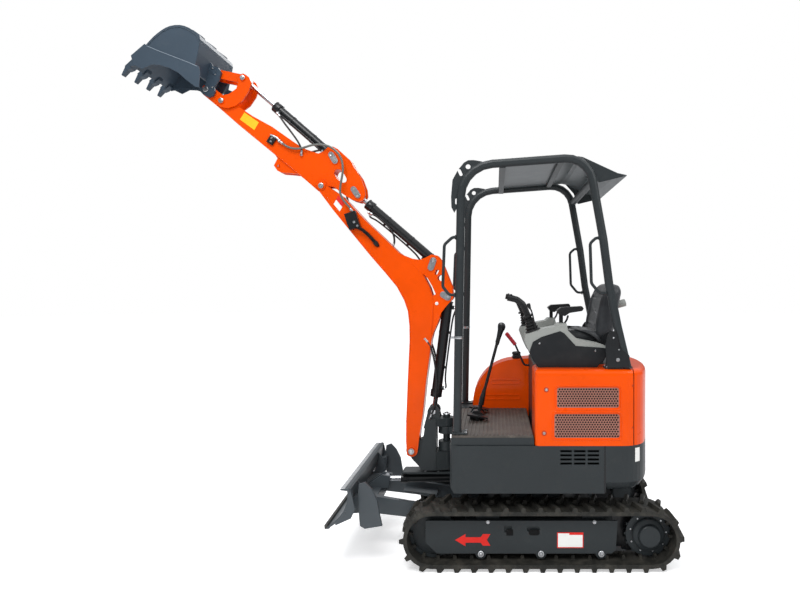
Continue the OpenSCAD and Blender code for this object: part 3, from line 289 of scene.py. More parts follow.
# Tracks, mat and plastics
# Moulded rubber with a brown grey bloom of dust, and moulded plastics.
def moulded(name, colour, rough, grain, depth, bloom="#8a8276", share=0.2):
    """Rubber or plastic from a mould: a fine pebbled grain of that size in metres, and a
    bloom of dust in soft patches."""
    stuff, tree, out, place = new_finish(name)
    pebble = add_node(tree, "TexVoronoi", {"Scale": 1 / grain}, {"Vector": place})
    patch = add_node(tree, "TexNoise", {"Scale": 14.0, "Detail": 6.0, "Roughness": 0.65}, {"Vector": place})
    dusty = bloomed(tree, patch, 0.42, 0.78, share, bloom)
    dusty.inputs[6].default_value = linear(colour)
    gloss = add_node(tree, "MapRange", {"To Min": rough - 0.06, "To Max": rough + 0.1},
                     {"Value": patch.outputs["Fac"]})
    soft = add_node(tree, "Bevel", {"Radius": 0.0025, "samples": 3})
    bump = add_node(tree, "Bump", {"Strength": depth, "Distance": grain * 0.3},
                    {"Height": pebble.outputs["Distance"], "Normal": soft.outputs[0]})
    finished(tree, out, {"Specular IOR Level": 0.3}, dusty.outputs[2], bump, gloss)
    return stuff


track_rubber = moulded("track_rubber", "#21211e", 0.58, 0.003, 0.3, "#6f6a60", 0.3)
dress(track_rubber, "track_left", "track_right")
mat_rubber = moulded("mat_rubber", "#4a4541", 0.6, 0.003, 0.3, "#8f867a", 0.3)
dress(mat_rubber, "floor_mat")
grey_plastic = moulded("grey_plastic", "#8d908c", 0.42, 0.0012, 0.12, "#a5a29a", 0.08)
dress(grey_plastic, "console_left", "console_right")
black_plastic = moulded("black_plastic", "#141517", 0.40, 0.0012, 0.2, "#6e6a64", 0.06)
dress(black_plastic, "control_levers", "travel_levers", "armrests")
seat_vinyl = moulded("seat_vinyl", "#202225", 0.4, 0.0018, 0.35, "#5f5d5a", 0.05)
dress(seat_vinyl, "seat")


# The tracks' frames: roller bolts, hub bolts, arrow and blank plate
# Zinc plated bolts hold the rollers and skids, and a ring of small ones the drive hub. A red
# arrow shows which way is forward, and the white plate behind two holes is left blank. Near
# black sheets over the holes' recesses paint the shade in them.
def metres(x, y, z):
    """A point in millimetres from the slewing axis, as metres in the frame."""
    return (x / 1000 + SLEW, y / 1000, z / 1000)


def skin(rings):
    """Points and faces of a closed tube through rings of as many points each, wound so that its
    faces look outwards when the rings run anticlockwise about the way they are stacked."""
    rings = np.asarray(rings, float)
    m, n = rings.shape[:2]
    low = np.arange(m - 1)[:, None] * n
    a, b = low + np.arange(n), low + (np.arange(n) + 1) % n
    faces = np.stack([a, b, b + n, a + n], -1).reshape(-1, 4).tolist()
    faces += [list(range(n))[::-1], list(range((m - 1) * n, m * n))]
    return rings.reshape(-1, 3), faces


def joined(parts):
    """Several (points, faces) as one."""
    points, faces, start = [], [], 0
    for p, f in parts:
        points.append(np.asarray(p, float))
        faces += [[i + start for i in face] for face in f]
        start += len(points[-1])
    return np.concatenate(points), faces


def frame_of(axis):
    """Two unit vectors that make a right-handed set with the axis."""
    axis = np.asarray(axis, float) / np.linalg.norm(axis)
    side = np.cross(axis, (0, 0, 1) if abs(axis[2]) < 0.9 else (1, 0, 0))
    side /= np.linalg.norm(side)
    return axis, side, np.cross(axis, side)


def lathe(profile, place, axis=(0, 1, 0), sides=24):
    """Points and faces of a body turned about an axis through a place. The profile lists
    (radius, height along the axis) in mm, with a radius over 0 at both ends."""
    axis, u, v = frame_of(axis)
    turn = 2 * np.pi * np.arange(sides) / sides
    spokes = np.cos(turn)[:, None] * u + np.sin(turn)[:, None] * v
    return skin([np.asarray(place) + axis * h / 1000 + r / 1000 * spokes for r, h in profile])


def tube(path, radius, sides=12, ends=1.0):
    """Points and faces of a round tube along points in metres. Each ring stands square to the
    path and is carried to the next by the least turn. Radius is one number or one a point."""
    path = np.asarray(path, float)
    way = np.gradient(path, axis=0)
    way /= np.linalg.norm(way, axis=1)[:, None]
    radii = np.broadcast_to(radius, len(path)).copy()
    radii[[0, -1]] *= ends
    _, u, _ = frame_of(way[0])
    turn = 2 * np.pi * np.arange(sides) / sides
    rings = []
    for p, w, r in zip(path, way, radii):
        u = u - w * (u @ w)
        u /= np.linalg.norm(u)
        v = np.cross(w, u)
        rings.append(p + r * (np.cos(turn)[:, None] * u + np.sin(turn)[:, None] * v))
    return skin(rings)


def smooth_path(knots, count):
    """Points evenly spread on a curve through the knots: Catmull-Rom, eased at both ends."""
    k = np.asarray(knots, float)
    k = np.vstack([2 * k[0] - k[1], k, 2 * k[-1] - k[-2]])
    fine = []
    for a, b, c, d in zip(k, k[1:], k[2:], k[3:]):
        t = np.linspace(0, 1, 24, endpoint=False)[:, None]
        bent = (2 * a - 5 * b + 4 * c - d) * t**2
        fine.append(0.5 * (2 * b + (c - a) * t + bent + (3 * b - a - 3 * c + d) * t**3))
    fine = np.vstack([*fine, k[-2:-1]])
    along = np.concatenate([[0], np.cumsum(np.linalg.norm(np.diff(fine, axis=0), axis=1))])
    at = np.linspace(0, along[-1], count)
    return np.stack([np.interp(at, along, fine[:, i]) for i in range(3)], 1)


def shrunk(outline, by):
    """The outline with every side moved inwards by a distance, in its own units. The outline
    runs anticlockwise; each corner moves along its bisector."""
    p = np.asarray(outline, float)
    into = p - np.roll(p, 1, 0)
    into /= np.linalg.norm(into, axis=1)[:, None]
    out = np.roll(into, -1, 0)
    n1, n2 = np.stack([-into[:, 1], into[:, 0]], 1), np.stack([-out[:, 1], out[:, 0]], 1)
    bisector = n1 + n2
    return p + by * bisector / (1 + (n1 * n2).sum(1))[:, None]


def slab(outline, y0, y1, edge=0.6):
    """Points and faces of a plate between y0 and y1 mm across the machine, whose side view is an
    outline in mm from the slewing axis. Its rims are chamfered by the edge."""
    p = np.asarray(outline, float)
    x, z = p[:, 0], p[:, 1]
    if (x * np.roll(z, -1) - z * np.roll(x, -1)).sum() < 0:
        p = p[::-1]
    rings = []
    for y, inset in ((y0, edge), (y0 + edge, 0), (y1 - edge, 0), (y1, edge)):
        q = shrunk(p, inset) if inset else p
        rings.append(np.stack([q[:, 0] / 1000 + SLEW, np.full(len(q), y / 1000), q[:, 1] / 1000], 1))
    points, faces = skin(rings)
    return points, [f[::-1] for f in faces]


def flank(outline, inner, outer, side, edge=0.6):
    """A slab on one side of the machine, 1 or -1, from inner to outer mm from its middle."""
    return slab(outline, *sorted((inner * side, outer * side)), edge)


def piece(name, parts, body, finish, smooth=True):
    """A mesh object of those parts that rides on a body. Edges sharper than 35 degrees stay
    sharp."""
    made = put(name, *joined(parts), smooth)
    if smooth:
        made.data.set_sharp_from_angle(angle=math.radians(35))
    made.data.materials.append(finish)
    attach(made, body)
    return made


def bolt(x, y, z, size, outwards=1, axis=None):
    """A hexagon bolt head on its washer, in mm from the slewing axis. It points along Y, or
    along the axis given."""
    where = np.array(metres(x, y, z))
    way = (0, outwards, 0) if axis is None else axis
    washer = [(size * 0.6, -1), (size * 1.16, -1), (size * 1.2, 0.6), (size * 1.14, 1.6), (size * 0.6, 1.6)]
    head = [(size * 0.5, 0.5), (size, 0.6), (size, size * 0.62), (size * 0.86, size * 0.74),
            (size * 0.4, size * 0.74)]
    return [lathe(washer, where, way, 20), lathe(head, where, way, 6)]


def dome(x, y, z, size, outwards=1, axis=None):
    """A round headed screw with a shallow socket, in mm from the slewing axis."""
    where = np.array(metres(x, y, z))
    way = (0, outwards, 0) if axis is None else axis
    head = [(size * 0.5, -1), (size, -1), (size, size * 0.15), (size * 0.86, size * 0.38),
            (size * 0.6, size * 0.5),
            (size * 0.4, size * 0.5), (size * 0.36, size * 0.2), (size * 0.1, size * 0.2)]
    return [lathe(head, where, way, 20)]


def strip(p, q, r, count=10):
    """The outline of two round ends at p and q, joined by straight sides, in millimetres."""
    way = math.atan2(q[1] - p[1], q[0] - p[0])
    turn = np.linspace(math.pi / 2, 3 * math.pi / 2, count)
    tail = [(p[0] + r * math.cos(way + t), p[1] + r * math.sin(way + t)) for t in turn]
    return tail + [(q[0] + r * math.cos(way + t + math.pi), q[1] + r * math.sin(way + t + math.pi))
                   for t in turn]


FRAME_FACE = 442  # Y of the tracks' frames' outer face, in mm
zinc = bare_metal("zinc_plate", "#c4c6c8", 0.30, 0.0012)
for side, label in SIDES:
    parts = []
    for x in (340, 0, -340):
        parts += [lathe([(12, -2), (17, -2), (17.5, 0.5), (16, 2), (11, 2), (10, -1)],
                        metres(x, 450 * side, 84.6), (0, side, 0))]
        parts += bolt(x, 450 * side, 84.6, 7.5, side)
    for x in (300, -303):
        parts += bolt(x, FRAME_FACE * side, 262, 9, side)
    for k in range(9):
        a = math.radians(40 * k + 15)
        parts += bolt(-615 + 104 * math.cos(a), 400.4 * side, 180 + 104 * math.sin(a), 4, side)
    parts += [lathe([(3, 0), (6, 0), (6, 5), (3.2, 9), (4.4, 12), (4, 15), (1.5, 16)],
                    metres(186, 400 * side, 226), (0, side, 0), 12)]
    piece("track_bolts_" + label, parts, "undercarriage", zinc)
# Near black, laid over the frame's hole recesses: painted shade in the holes.
painted_hole_shade = moulded("painted_hole_shade", "#060607", 0.8, 0.004, 0.2, "#101010", 0.02)
arrow = [(486, 161), (427, 195), (427, 177), (341, 177), (328, 195), (286, 195), (306, 162),
         (286, 129), (328, 129), (341, 146), (427, 146), (427, 126)]
square_hole = [(157, 186), (196, 186), (196, 221), (157, 221)]
red_film = painted("red_film", "#d8231b", 0.38, 0.0012, 0.02)
white_film = painted("white_film", "#e8e8e4", 0.38, 0.0012, 0.03)
for side, label in SIDES:
    piece("forward_arrow_" + label, [flank(arrow, FRAME_FACE + 0.05, FRAME_FACE + 0.6, side, 0.1)],
          "undercarriage", red_film, False)
    holes = [flank(hole, FRAME_FACE + 0.05, FRAME_FACE + 0.6, side, 0.1)
             for hole in (square_hole, strip((23, 203), (54, 203), 16))]
    piece("frame_hole_shades_" + label, holes, "undercarriage", painted_hole_shade, False)
frame_edge = [(-91, 116), (-91, 204), (-240, 204), (-240, 116)]
piece("plate_border", [slab(frame_edge, FRAME_FACE + 0.05, FRAME_FACE + 0.5, 0.1)], "undercarriage",
      red_film, False)
blank = [(-96, 121), (-96, 199), (-160, 199), (-160, 190), (-235, 190), (-235, 121)]
blank_plate = slab(blank, FRAME_FACE + 0.3, FRAME_FACE + 0.8, 0.1)
piece("blank_plate", [blank_plate], "undercarriage", white_film, False)

for side, label in SIDES:
    rim = [(81, 15.4), (126, 15.4), (128, 17), (127, 19.5), (118, 21), (100, 20), (88, 23), (81, 23)]
    hub = lathe(rim, metres(-615, 380 * side, 180), (0, side, 0), 64)
    piece("drive_disc_" + label, [hub], "undercarriage", charcoal_enamel)
    # A black plate and foot behind the drive: painted shade, standing for the shaded bracket structure
    # there.
    tail = flank([(-420, 56), (-420, 302), (-551, 302), (-551, 56)], 324, 332, side, 1)
    foot = [(-422, 98), (-422, 124), (-450, 124), (-458, 108), (-482, 104), (-482, 98)]
    skid = flank(foot, 404, 440, side, 1)
    piece("frame_tail_shade_" + label, [tail, skid], "undercarriage", black_satin)


# Covers: screws in dimples, window rims, seams, blank tail plate and the bonnet's lock
# The sheet covers are held by zinc plated screws in round dimples, two in front of the grilles,
# and by screws on the rounded corner. The dimples' rims and the corner screws are a darker
# orange, painted shade, and a black sheet behind the grilles is painted shade behind them.
COVER_FACE = 490  # Y of the left cover's outer face, in mm
# A darker orange: painted shade in the screw dimples and on the corner screws.
dimple_shade = painted("dimple_shadow", "#b63a0c", 0.35, 0.0012, 0.02)
parts, rings = [], []
for x, z in ((-26, 1018), (-14, 776)):
    parts += dome(x, COVER_FACE + 0.2, z, 8)
    rings += [lathe([(9, -1), (14, -1), (15, 0.2), (13.5, 1.3), (11, 0.4), (9, 0.3)],
                    metres(x, COVER_FACE, z))]
for z in (900, 760):
    parts += dome(374, -COVER_FACE - 0.2, z, 8, -1)
piece("cover_screws", parts, "upper", zinc)
parts = []
corner = np.array((-454.1, 340.0))
for angle, z in ((112, 1040), (112, 806)):
    a = math.radians(angle)
    way = (math.cos(a), math.sin(a), 0)
    spot = corner + 150.2 * np.array(way[:2])
    for side in (1, -1):
        parts += dome(spot[0], spot[1] * side, z, 6, axis=(way[0], way[1] * side, 0))
piece("corner_screws", parts, "upper", dimple_shade)


def rounded_loop(x0, z0, x1, z1, r, y):
    """A rectangle with round corners in the side view, in mm, as points in metres at y mm."""
    turn = np.radians(np.arange(0, 91, 15))
    centres = ((x1 - r, z1 - r, 0), (x0 + r, z1 - r, 90), (x0 + r, z0 + r, 180), (x1 - r, z0 + r, 270))
    loop = [(x + r * math.cos(t + math.radians(a)), z + r * math.sin(t + math.radians(a)))
            for x, z, a in centres for t in turn]
    return np.array([metres(x, y, z) for x, z in loop])


def ring_tube(loop, radius, sides=10):
    """Points and faces of a round tube along a closed loop that lies in the side view."""
    way = np.roll(loop, -1, 0) - np.roll(loop, 1, 0)
    way /= np.linalg.norm(way, axis=1)[:, None]
    out = np.cross(way, (0, 1.0, 0))
    turn = 2 * np.pi * np.arange(sides) / sides
    cosine, sine = np.cos(turn)[:, None], np.sin(turn)[:, None]
    rings = np.array([p + radius * (cosine * o + sine * np.array((0, 1.0, 0))) for p, o in zip(loop, out)])
    n = len(loop)
    i, j = np.divmod(np.arange(n * sides), sides)
    a, b = i * sides + j, i * sides + (j + 1) % sides
    c, d = (i + 1) % n * sides + (j + 1) % sides, (i + 1) % n * sides + j
    return rings.reshape(-1, 3), np.stack([a, d, c, b], -1).tolist()


rims = [ring_tube(rounded_loop(x - 11, z - 11, x + w + 11, z + h + 11, 24, COVER_FACE - 0.4), 0.0036)
        for x, z, w, h in ((-436, 749, 365, 134), (-432, 917, 347, 113))]
piece("window_rims", rims, "upper", orange_enamel)
piece("screw_dimples", rings, "upper", dimple_shade)
turn = np.radians(np.linspace(118, 132, 9))
patch = [[(corner[0] + r * math.cos(t), corner[1] + r * math.sin(t), z) for r,
          z in ((150.4, 612), (150.9, 612), (150.9, 690), (150.4, 690))]
         for t in turn]
piece("tail_plate", [skin(np.array(patch) / 1000 + (SLEW, 0, 0))], "upper", white_film, False)
# A black sheet behind the grilles: painted shade, darkening the holes.
shade_sheet = [slab([(-452, 740), (-452, 1038), (-60, 1038), (-60, 740)], 468, 471, 1)]
piece("grille_shade_sheet", shade_sheet, "upper", black_plastic)
seam = [slab([(-347, 446), (-347, 704), (-358, 704), (-358, 446)], COVER_FACE - 0.2, COVER_FACE + 0.6, 0.1)]
piece("panel_seam", seam, "upper", black_satin, False)
lock = [lathe([(6, -2), (17, -2), (18, 3), (15, 6), (12, 6.5), (12, 4), (3, 4)], metres(-670, 0, 790),
              (-1, 0, 0), 28)]
lock += [slab([(-682, 770), (-676, 770), (-676, 782), (-682, 782)], -3, 3, 0.8)]
piece("bonnet_lock", lock, "bonnet", zinc)


# Consoles, levers and armrests
# Each grey console has a dark panel screwed on its outer side. The joysticks stand in bellows
# with a clamped collar; the blade's lever has a red grip.
panel = [(43, 1276), (-6, 1305), (-113, 1338), (-137, 1326), (-203, 1254), (-345, 1244), (-381, 1240),
         (-377, 1189),
         (-322, 1129.5), (12, 1129.5), (40, 1166), (64, 1216)]
panel_enamel = moulded("console_panel", "#16191c", 0.40, 0.0012, 0.12, "#6e6a64", 0.05)
for side, label in SIDES:
    piece("console_panel_" + label, [flank(panel, 395.1, 398.5, side, 1.2)], "upper", panel_enamel)
    screws = []
    for x, z in ((5, 1268), (-315, 1226)):
        screws += dome(x, 398.4 * side, z, 5.5, side)
    piece("console_screws_" + label, screws, "upper", zinc)
    root = np.array(metres(38, 325 * side, 1333.7))
    lean = np.array((math.sin(math.radians(18.4)), 0, math.cos(math.radians(18.4))))
    trim = [lathe([(20, 86), (31, 87), (32, 92), (31, 98), (24, 101), (18, 101)], root, lean, 28)]
    tip = np.array(metres(186, 325 * side, 1530))
    trim += [lathe([(8, -8), (13, -6), (14, 0), (10, 5), (5, 6)], tip - (0.014, 0, -0.012), (0.5, 0, 0.86),
                   20)]
    trim += [tube(smooth_path([metres(24, 365 * side, 1340), metres(45, 365 * side, 1440),
                               metres(68, 365 * side, 1490)], 12), 0.0045, 10)]
    trim += [lathe([(5, -24), (7, -20), (12, 0), (11, 8), (6, 11)], metres(66, 365 * side, 1486),
                   (0.4, 0, 0.92), 20)]
    trim += [tube(smooth_path([metres(-150, 290 * side, 1375), metres(-165, 290 * side, 1400),
                               metres(-172, 290 * side, 1424)], 8), 0.006, 10)]
    piece("joystick_trim_" + label, trim, "upper", black_plastic)
red_grip = moulded("red_grip", "#a3202c", 0.35, 0.0012, 0.2, "#7a4a48", 0.05)
grip_way = np.array((60, 0, 76)) / math.hypot(60, 76)
grip = [(9, -2), (12.6, 0), (13.4, 8), (12.4, 16), (13.4, 26), (12.4, 38), (13.4, 50), (12.6, 62),
        (13.6, 76), (14, 92), (11, 99), (4, 101)]
piece("blade_lever_grip", [lathe(grip, metres(123, -215, 1204), grip_way, 24)], "upper", red_grip)
knobs = []
for y in (60, -60):
    base = np.array(metres(372, y, 765.2))
    way = np.array((-math.sin(math.radians(15)), 0, math.cos(math.radians(15))))
    knobs += [lathe([(9, 480), (12, 484), (12.6, 520), (17, 566), (23, 586), (24, 600), (20, 611),
                     (10, 617), (3, 618)], base, way, 24)]
    knobs += [lathe([(13, 88), (17, 90), (16, 110), (12.5, 150), (9, 178), (8.2, 182)], base, way, 20)]
piece("travel_lever_boots", knobs, "upper", black_plastic)


# Seat: cushion, back, belt and hinge
# A black vinyl pan seat: a crowned cushion and a back with raised side bolsters and three sewn
# channels, on a grey slide. Its belt reel stands behind the back.
def pad(name, size, lift, channels):
    """A pad in its own frame: X across, Y along, Z up, in metres, size (across, along, thick).
    Its plan is a superellipse of power 5, its section an ellipse of power 2.6. The bolsters
    raise both sides by lift, following the sixth power of x, and each channel is a groove
    across the pad 7 mm wide."""
    across, along, thick = (v / 2 for v in size)
    u = np.linspace(0, 2 * np.pi, 96, endpoint=False)
    rings = []
    for t in np.linspace(-math.pi / 2 * 0.985, math.pi / 2 * 0.985, 21):
        c, s = math.cos(t), math.sin(t)
        spread = 0.80 + 0.20 * abs(c) ** (2 / 2.6) if abs(s) < 0.999 else 0.80
        px = np.sign(np.cos(u)) * np.abs(np.cos(u)) ** (2 / 5) * across * spread
        py = np.sign(np.sin(u)) * np.abs(np.sin(u)) ** (2 / 5) * along * spread
        pz = np.full(96, np.sign(s) * abs(s) ** (2 / 2.6) * thick)
        rings.append(np.stack([px, py, pz], 1))
    inner = [rings[-1] * (k, k, 1) for k in np.linspace(0.93, 0.08, 12)]
    under = [rings[0] * (k, k, 1) for k in np.linspace(0.08, 0.93, 5)]
    points, faces = skin(under + rings + inner)
    x, y, z = points.T
    up = np.clip(z / thick, 0, 1)
    rise = up * (lift * np.abs(x / across) ** 6 + 0.10 * thick * np.cos(y / along * 1.3))
    sunk = sum(np.exp(-(((y - c) / 0.0055) ** 2))
               for c in channels) * 0.011 * up * (np.abs(x / across) < 0.74)
    ridge = np.exp(-((((np.abs(x) / across) - 0.74) / 0.035) ** 2)) * 0.009 * up
    return np.stack([x, y, z + rise - sunk - ridge], 1), faces


def settled(points, tilt, place):
    """Pad points turned about Y by the tilt in degrees, with the pad's length along X, and set
    at a place in millimetres from the slewing axis."""
    a = math.radians(tilt)
    x, y, z = points[:, 1], -points[:, 0], points[:, 2]
    return np.stack([x * math.cos(a) + z * math.sin(a) + place[0] / 1000 + SLEW, y + place[1] / 1000,
                     -x * math.sin(a) + z * math.cos(a) + place[2] / 1000], 1)


def swollen(made, cap):
    """The pad filled as foam fills a sewn cover: Blender's cloth with a pressure of 4 and no
    gravity for 20 frames, where no point moves further than the cap."""
    rest = np.array([v.co for v in made.data.vertices])
    cloth = made.modifiers.new("cloth", "CLOTH")
    cloth.settings.use_pressure = True
    cloth.settings.uniform_pressure_force = 4
    cloth.settings.effector_weights.gravity = 0
    cloth.settings.tension_stiffness = 40
    cloth.settings.compression_stiffness = 40
    for number in range(1, 21):
        scene.frame_set(number)
    shaped = made.evaluated_get(bpy.context.evaluated_depsgraph_get()).data
    moved = np.array([v.co for v in shaped.vertices])
    made.modifiers.clear()
    scene.frame_set(1)
    step = moved - rest
    far = np.linalg.norm(step, axis=1)
    step *= np.minimum(1, cap / np.maximum(far, 1e-9))[:, None]
    made.data.vertices.foreach_set("co", (rest + step).astype(np.float32).ravel())
    made.data.update()
    return made


def vinyl(name, colour):
    """Seat vinyl: pebbled leather grain of 1.6 mm under finer pores, a sheen, and a slightly
    worn gloss in patches."""
    cover, tree, out, place = new_finish(name)
    pebble = add_node(tree, "TexVoronoi", {"Scale": 620.0}, {"Vector": place})
    pores = add_node(tree, "TexNoise", {"Scale": 1500.0, "Detail": 2.0}, {"Vector": place})
    worn = add_node(tree, "TexNoise", {"Scale": 9.0, "Detail": 5.0}, {"Vector": place})
    hue = ramp(tree, worn.outputs["Fac"], (0.35, linear(colour)), (0.7, linear("#34373a")))
    gloss = add_node(tree, "MapRange", {"To Min": 0.30, "To Max": 0.46}, {"Value": worn.outputs["Fac"]})
    low = add_node(tree, "Bump", {"Strength": 0.35, "Distance": 0.0006},
                   {"Height": pebble.outputs["Distance"]})
    bump = add_node(tree, "Bump", {"Strength": 0.15, "Distance": 0.0003},
                    {"Height": pores.outputs["Fac"], "Normal": low.outputs[0]})
    finished(tree, out, {"Sheen Weight": 0.08, "Specular IOR Level": 0.35}, hue, bump, gloss)
    return cover


seat_cover = vinyl("seat_cover", "#1c1e21")
points, faces = pad("cushion", (0.425, 0.41, 0.105), 0.026, (-0.09, 0.0, 0.09))
cushion = put("seat_cushion", settled(points, 3, (-214, 0, 1262)), faces, True)
swollen(cushion, 0.006)
points, faces = pad("back", (0.435, 0.385, 0.092), 0.045, (-0.09, 0.0, 0.09))
back = put("seat_back", settled(points, 78, (-434, 0, 1430)), faces, True)
swollen(back, 0.006)
for pillow in (cushion, back):
    pillow.modifiers.new("soft", "SUBSURF").levels = 1
    pillow.modifiers["soft"].render_levels = 1
    pillow.data.materials.append(seat_cover)
    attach(pillow, "upper")
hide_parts("seat")
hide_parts("seat")
slide = [slab([(-400, 1130.5), (-55, 1130.5), (-55, 1150), (-75, 1206), (-395, 1206), (-415, 1150)], -165,
              165, 4)]
slide += [slab([(-440, 1176), (-380, 1176), (-372, 1250), (-400, 1310), (-440, 1330), (-455, 1300),
                (-440, 1240)], s * 208 - 6, s * 208 + 6, 1.5) for s in (1, -1)]
piece("seat_slide", slide, "upper", black_satin)
reel = [lathe([(10, -30), (22, -28), (24, -24), (24, 24), (22, 28), (10, 30)], metres(-548, 0, 1487),
              (1, 0, -0.25), 28)]
reel += [slab([(-520, 1500), (-505, 1500), (-470, 1320), (-400, 1180), (-415, 1178), (-490, 1318)], -16, 16,
              1)]
piece("belt_reel", reel, "upper", grey_plastic)
webbing = moulded("belt_webbing", "#26282b", 0.7, 0.0022, 0.5, "#5d5a55", 0.05)
for side, label in SIDES:
    run = smooth_path([(-0.395, 0.213 * side, 1.215), (-0.33, 0.216 * side, 1.30),
                       (-0.24, 0.17 * side, 1.333), (-0.15, 0.09 * side, 1.337)], 24)
    run[:, 0] += SLEW
    across = np.cross(np.gradient(run, axis=0), (0, 0, 1.0))
    across /= np.linalg.norm(across, axis=1)[:, None]
    lay = np.cross(across, np.gradient(run, axis=0))
    lay /= np.linalg.norm(lay, axis=1)[:, None]
    rings = np.stack([run + across * 0.022 + lay * 0.001, run - across * 0.022 + lay * 0.001,
                      run - across * 0.022 - lay * 0.001, run + across * 0.022 - lay * 0.001], 1)
    piece("seat_belt_" + label, [skin(rings)], "upper", webbing)
    if side == 1:
        piece("belt_buckle", [slab([(-168, 1336), (-128, 1336), (-126, 1350), (-170, 1350)], 55, 98, 3)],
              "upper", black_plastic)


# Canopy: clamps, foot bolts and brackets, weld beads, roof screws and the visor's cheeks
# A band clamp sits on each front post and a black bracket beside each rear one. Three bolts
# hold each foot, and weld beads run round the tubes where they meet the plates.
def weld(path, radius=0.0028, pitch=0.0045):
    """A weld bead along a path in metres: a low tube whose radius ripples by a sixth, once for
    each pitch."""
    path = np.asarray(path, float)
    along = np.concatenate([[0], np.cumsum(np.linalg.norm(np.diff(path, axis=0), axis=1))])
    count = max(int(along[-1] / pitch * 4), 8)
    at = np.linspace(0, along[-1], count)
    fine = np.stack([np.interp(at, along, path[:, i]) for i in range(3)], 1)
    return tube(fine, radius * (1 + 0.16 * np.cos(2 * np.pi * at / pitch)), 8, 0.4)


def ring_path(place, radius, axis=(0, 0, 1)):
    """Points round a circle in metres, which nearly closes."""
    axis, u, v = frame_of(axis)
    turn = np.linspace(0, 2 * np.pi * 0.985, 40)[:, None]
    return np.asarray(place) + radius * (np.cos(turn) * u + np.sin(turn) * v)


beads, fixings = [], []
for side in (1, -1):
    beads.append(weld(ring_path(metres(473.8, 445 * side, 774.5), 0.0255), 0.0035))
    beads.append(weld(ring_path(metres(-487, 445 * side, 1139.5), 0.0262), 0.0035))
    for x, y in ((424, 462), (424, 410), (493, 410)):
        fixings += bolt(x, y * side, 773.3, 7, axis=(0, 0, 1))
    for x, y in ((-372, 446), (-372, 396), (-440, 396)):
        fixings += bolt(x, y * side, 1138.3, 7, axis=(0, 0, 1))
    for x in (217, -120, -225):
        z = 2297 + (236 - x) * 38 / 450
        for y in (110, 250, 390):
            fixings += dome(x, y * side, z - 0.6, 5, axis=(0.08, 0, 1))
    for y in (60, 200, 340):
        fixings += dome(-330, y * side, 2289.5, 5, axis=(-0.42, 0, 0.9))
piece("canopy_welds", beads, "upper", charcoal_enamel)
piece("canopy_bolts", fixings, "upper", zinc)
band = [(23, -7), (25.6, -7), (26.2, -5), (26.2, 5), (25.6, 7), (23, 7)]
clamp = [lathe(band, metres(465.4, 445 * side, 1306), (-0.016, 0, 1), 28) for side in (1, -1)]
clamp += [slab([(489, 1300), (508, 1300), (508, 1312), (489, 1312)], 441, 449, 0.8)]
piece("post_clamps", clamp, "upper", zinc)
brackets, pins = [], []
foot = [(-357, 1267), (-372, 1322), (-389, 1344), (-412, 1344), (-426, 1318), (-438, 1251), (-478, 1222),
        (-494, 1205),
        (-490, 1140), (-368, 1140)]
for side in (1, -1):
    brackets.append(flank(foot, 469.5, 475, side, 1.2))
    brackets.append(flank([(-392, 1140), (-392, 1225), (-402, 1225), (-402, 1140)], 420, 470, side, 1))
    pins += bolt(-428, 475 * side, 1183, 9, side) + dome(-403, 475 * side, 1306, 5, side)
    pins += dome(-434, 475 * side, 1240, 4, side)
piece("post_foot_brackets", brackets, "upper", black_satin)
piece("post_foot_pins", pins, "upper", zinc)
cheeks = []
for side in (1, -1):
    web = [(-244, 2325), (-300, 2262), (-330, 2187), (-345, 2189), (-487, 2224), (-437, 2236)]
    cheeks.append(flank(web, 417.2, 419.8, side, 0.5))
piece("visor_cheeks", cheeks, "upper", charcoal_enamel)
flanges = []
for side in (1, -1):
    for x, z in ((483, 1872), (488, 1546), (-328, 1868.8), (-364, 1555.4)):
        flanges.append(lathe([(8, -4), (14, -4), (14.5, -1), (13, 2), (9.6, 4), (8, 4)],
                             metres(x, 445 * side, z), (1, 0, 0), 20))
piece("handle_flanges", flanges, "upper", charcoal_enamel)
cap = [lathe([(10, -4), (30, -4), (31, 0), (31, 6), (26, 10), (26, 20), (30, 22), (31, 30), (27, 38),
              (12, 41)], metres(110, -365, 1101.5), (0, 0, 1), 32)]
cap += [slab([(84, 1096), (136, 1096), (136, 1112), (128, 1120), (92, 1120), (84, 1112)], -330, -322, 1.5)]
piece("filler_cap", cap, "upper", black_plastic)
piece("filler_ring",
      [lathe([(25, 0), (32, 0), (33, 2), (31, 5), (25, 5)], metres(110, -365, 1106.5), (0, 0, 1), 32)],
      "upper", zinc)


# Swing bracket and boom: pins, keepers, blank plates, valve fittings and hoses
# Every main pin ends in a zinc plated keeper plate with one bolt, or in a big washer. The label
# near the boom's tip is left blank, and the lettering on its side is left off.
def on(link, x, z):
    """A point of the boom, arm or bucket in millimetres along and above its own line, as
    millimetres from the slewing axis. A link is its pin's X and Z and its line's angle."""
    c, s = math.cos(link[2]), math.sin(link[2])
    return link[0] + x * c - z * s, link[1] + x * s + z * c


def point(link, x, z, y=0):
    """The same point at y mm across the machine, as (x, y, z)."""
    ahead, height = on(link, x, z)
    return ahead, y, height


BOOM_LENGTH = 1768  # mm between its pins
ARM_LENGTH = 946
BOOM = (787.0, 558.0, math.radians(71.2))
ARM = (*on(BOOM, BOOM_LENGTH, 0), math.radians(39.9))
BUCKET = (*on(ARM, ARM_LENGTH, 0), math.radians(10.2))


def keeper(link, pin, screw, r, y):
    """A keeper plate on both sides at y mm: the pin's end, the plate and its bolt."""
    parts = []
    p, q = on(link, *pin), on(link, *screw)
    for side in (1, -1):
        parts.append(flank(strip(p, q, r), y, y + 1.2, side, 0.4))
        parts.append(lathe([(8, 0), (15.4, 0), (15.6, 3), (14, 5), (6, 5.2), (3, 4)],
                           metres(p[0], y * side, p[1]), (0, side, 0), 28))
        parts += bolt(q[0], (y + 1) * side, q[1], 6.5, side)
    return parts


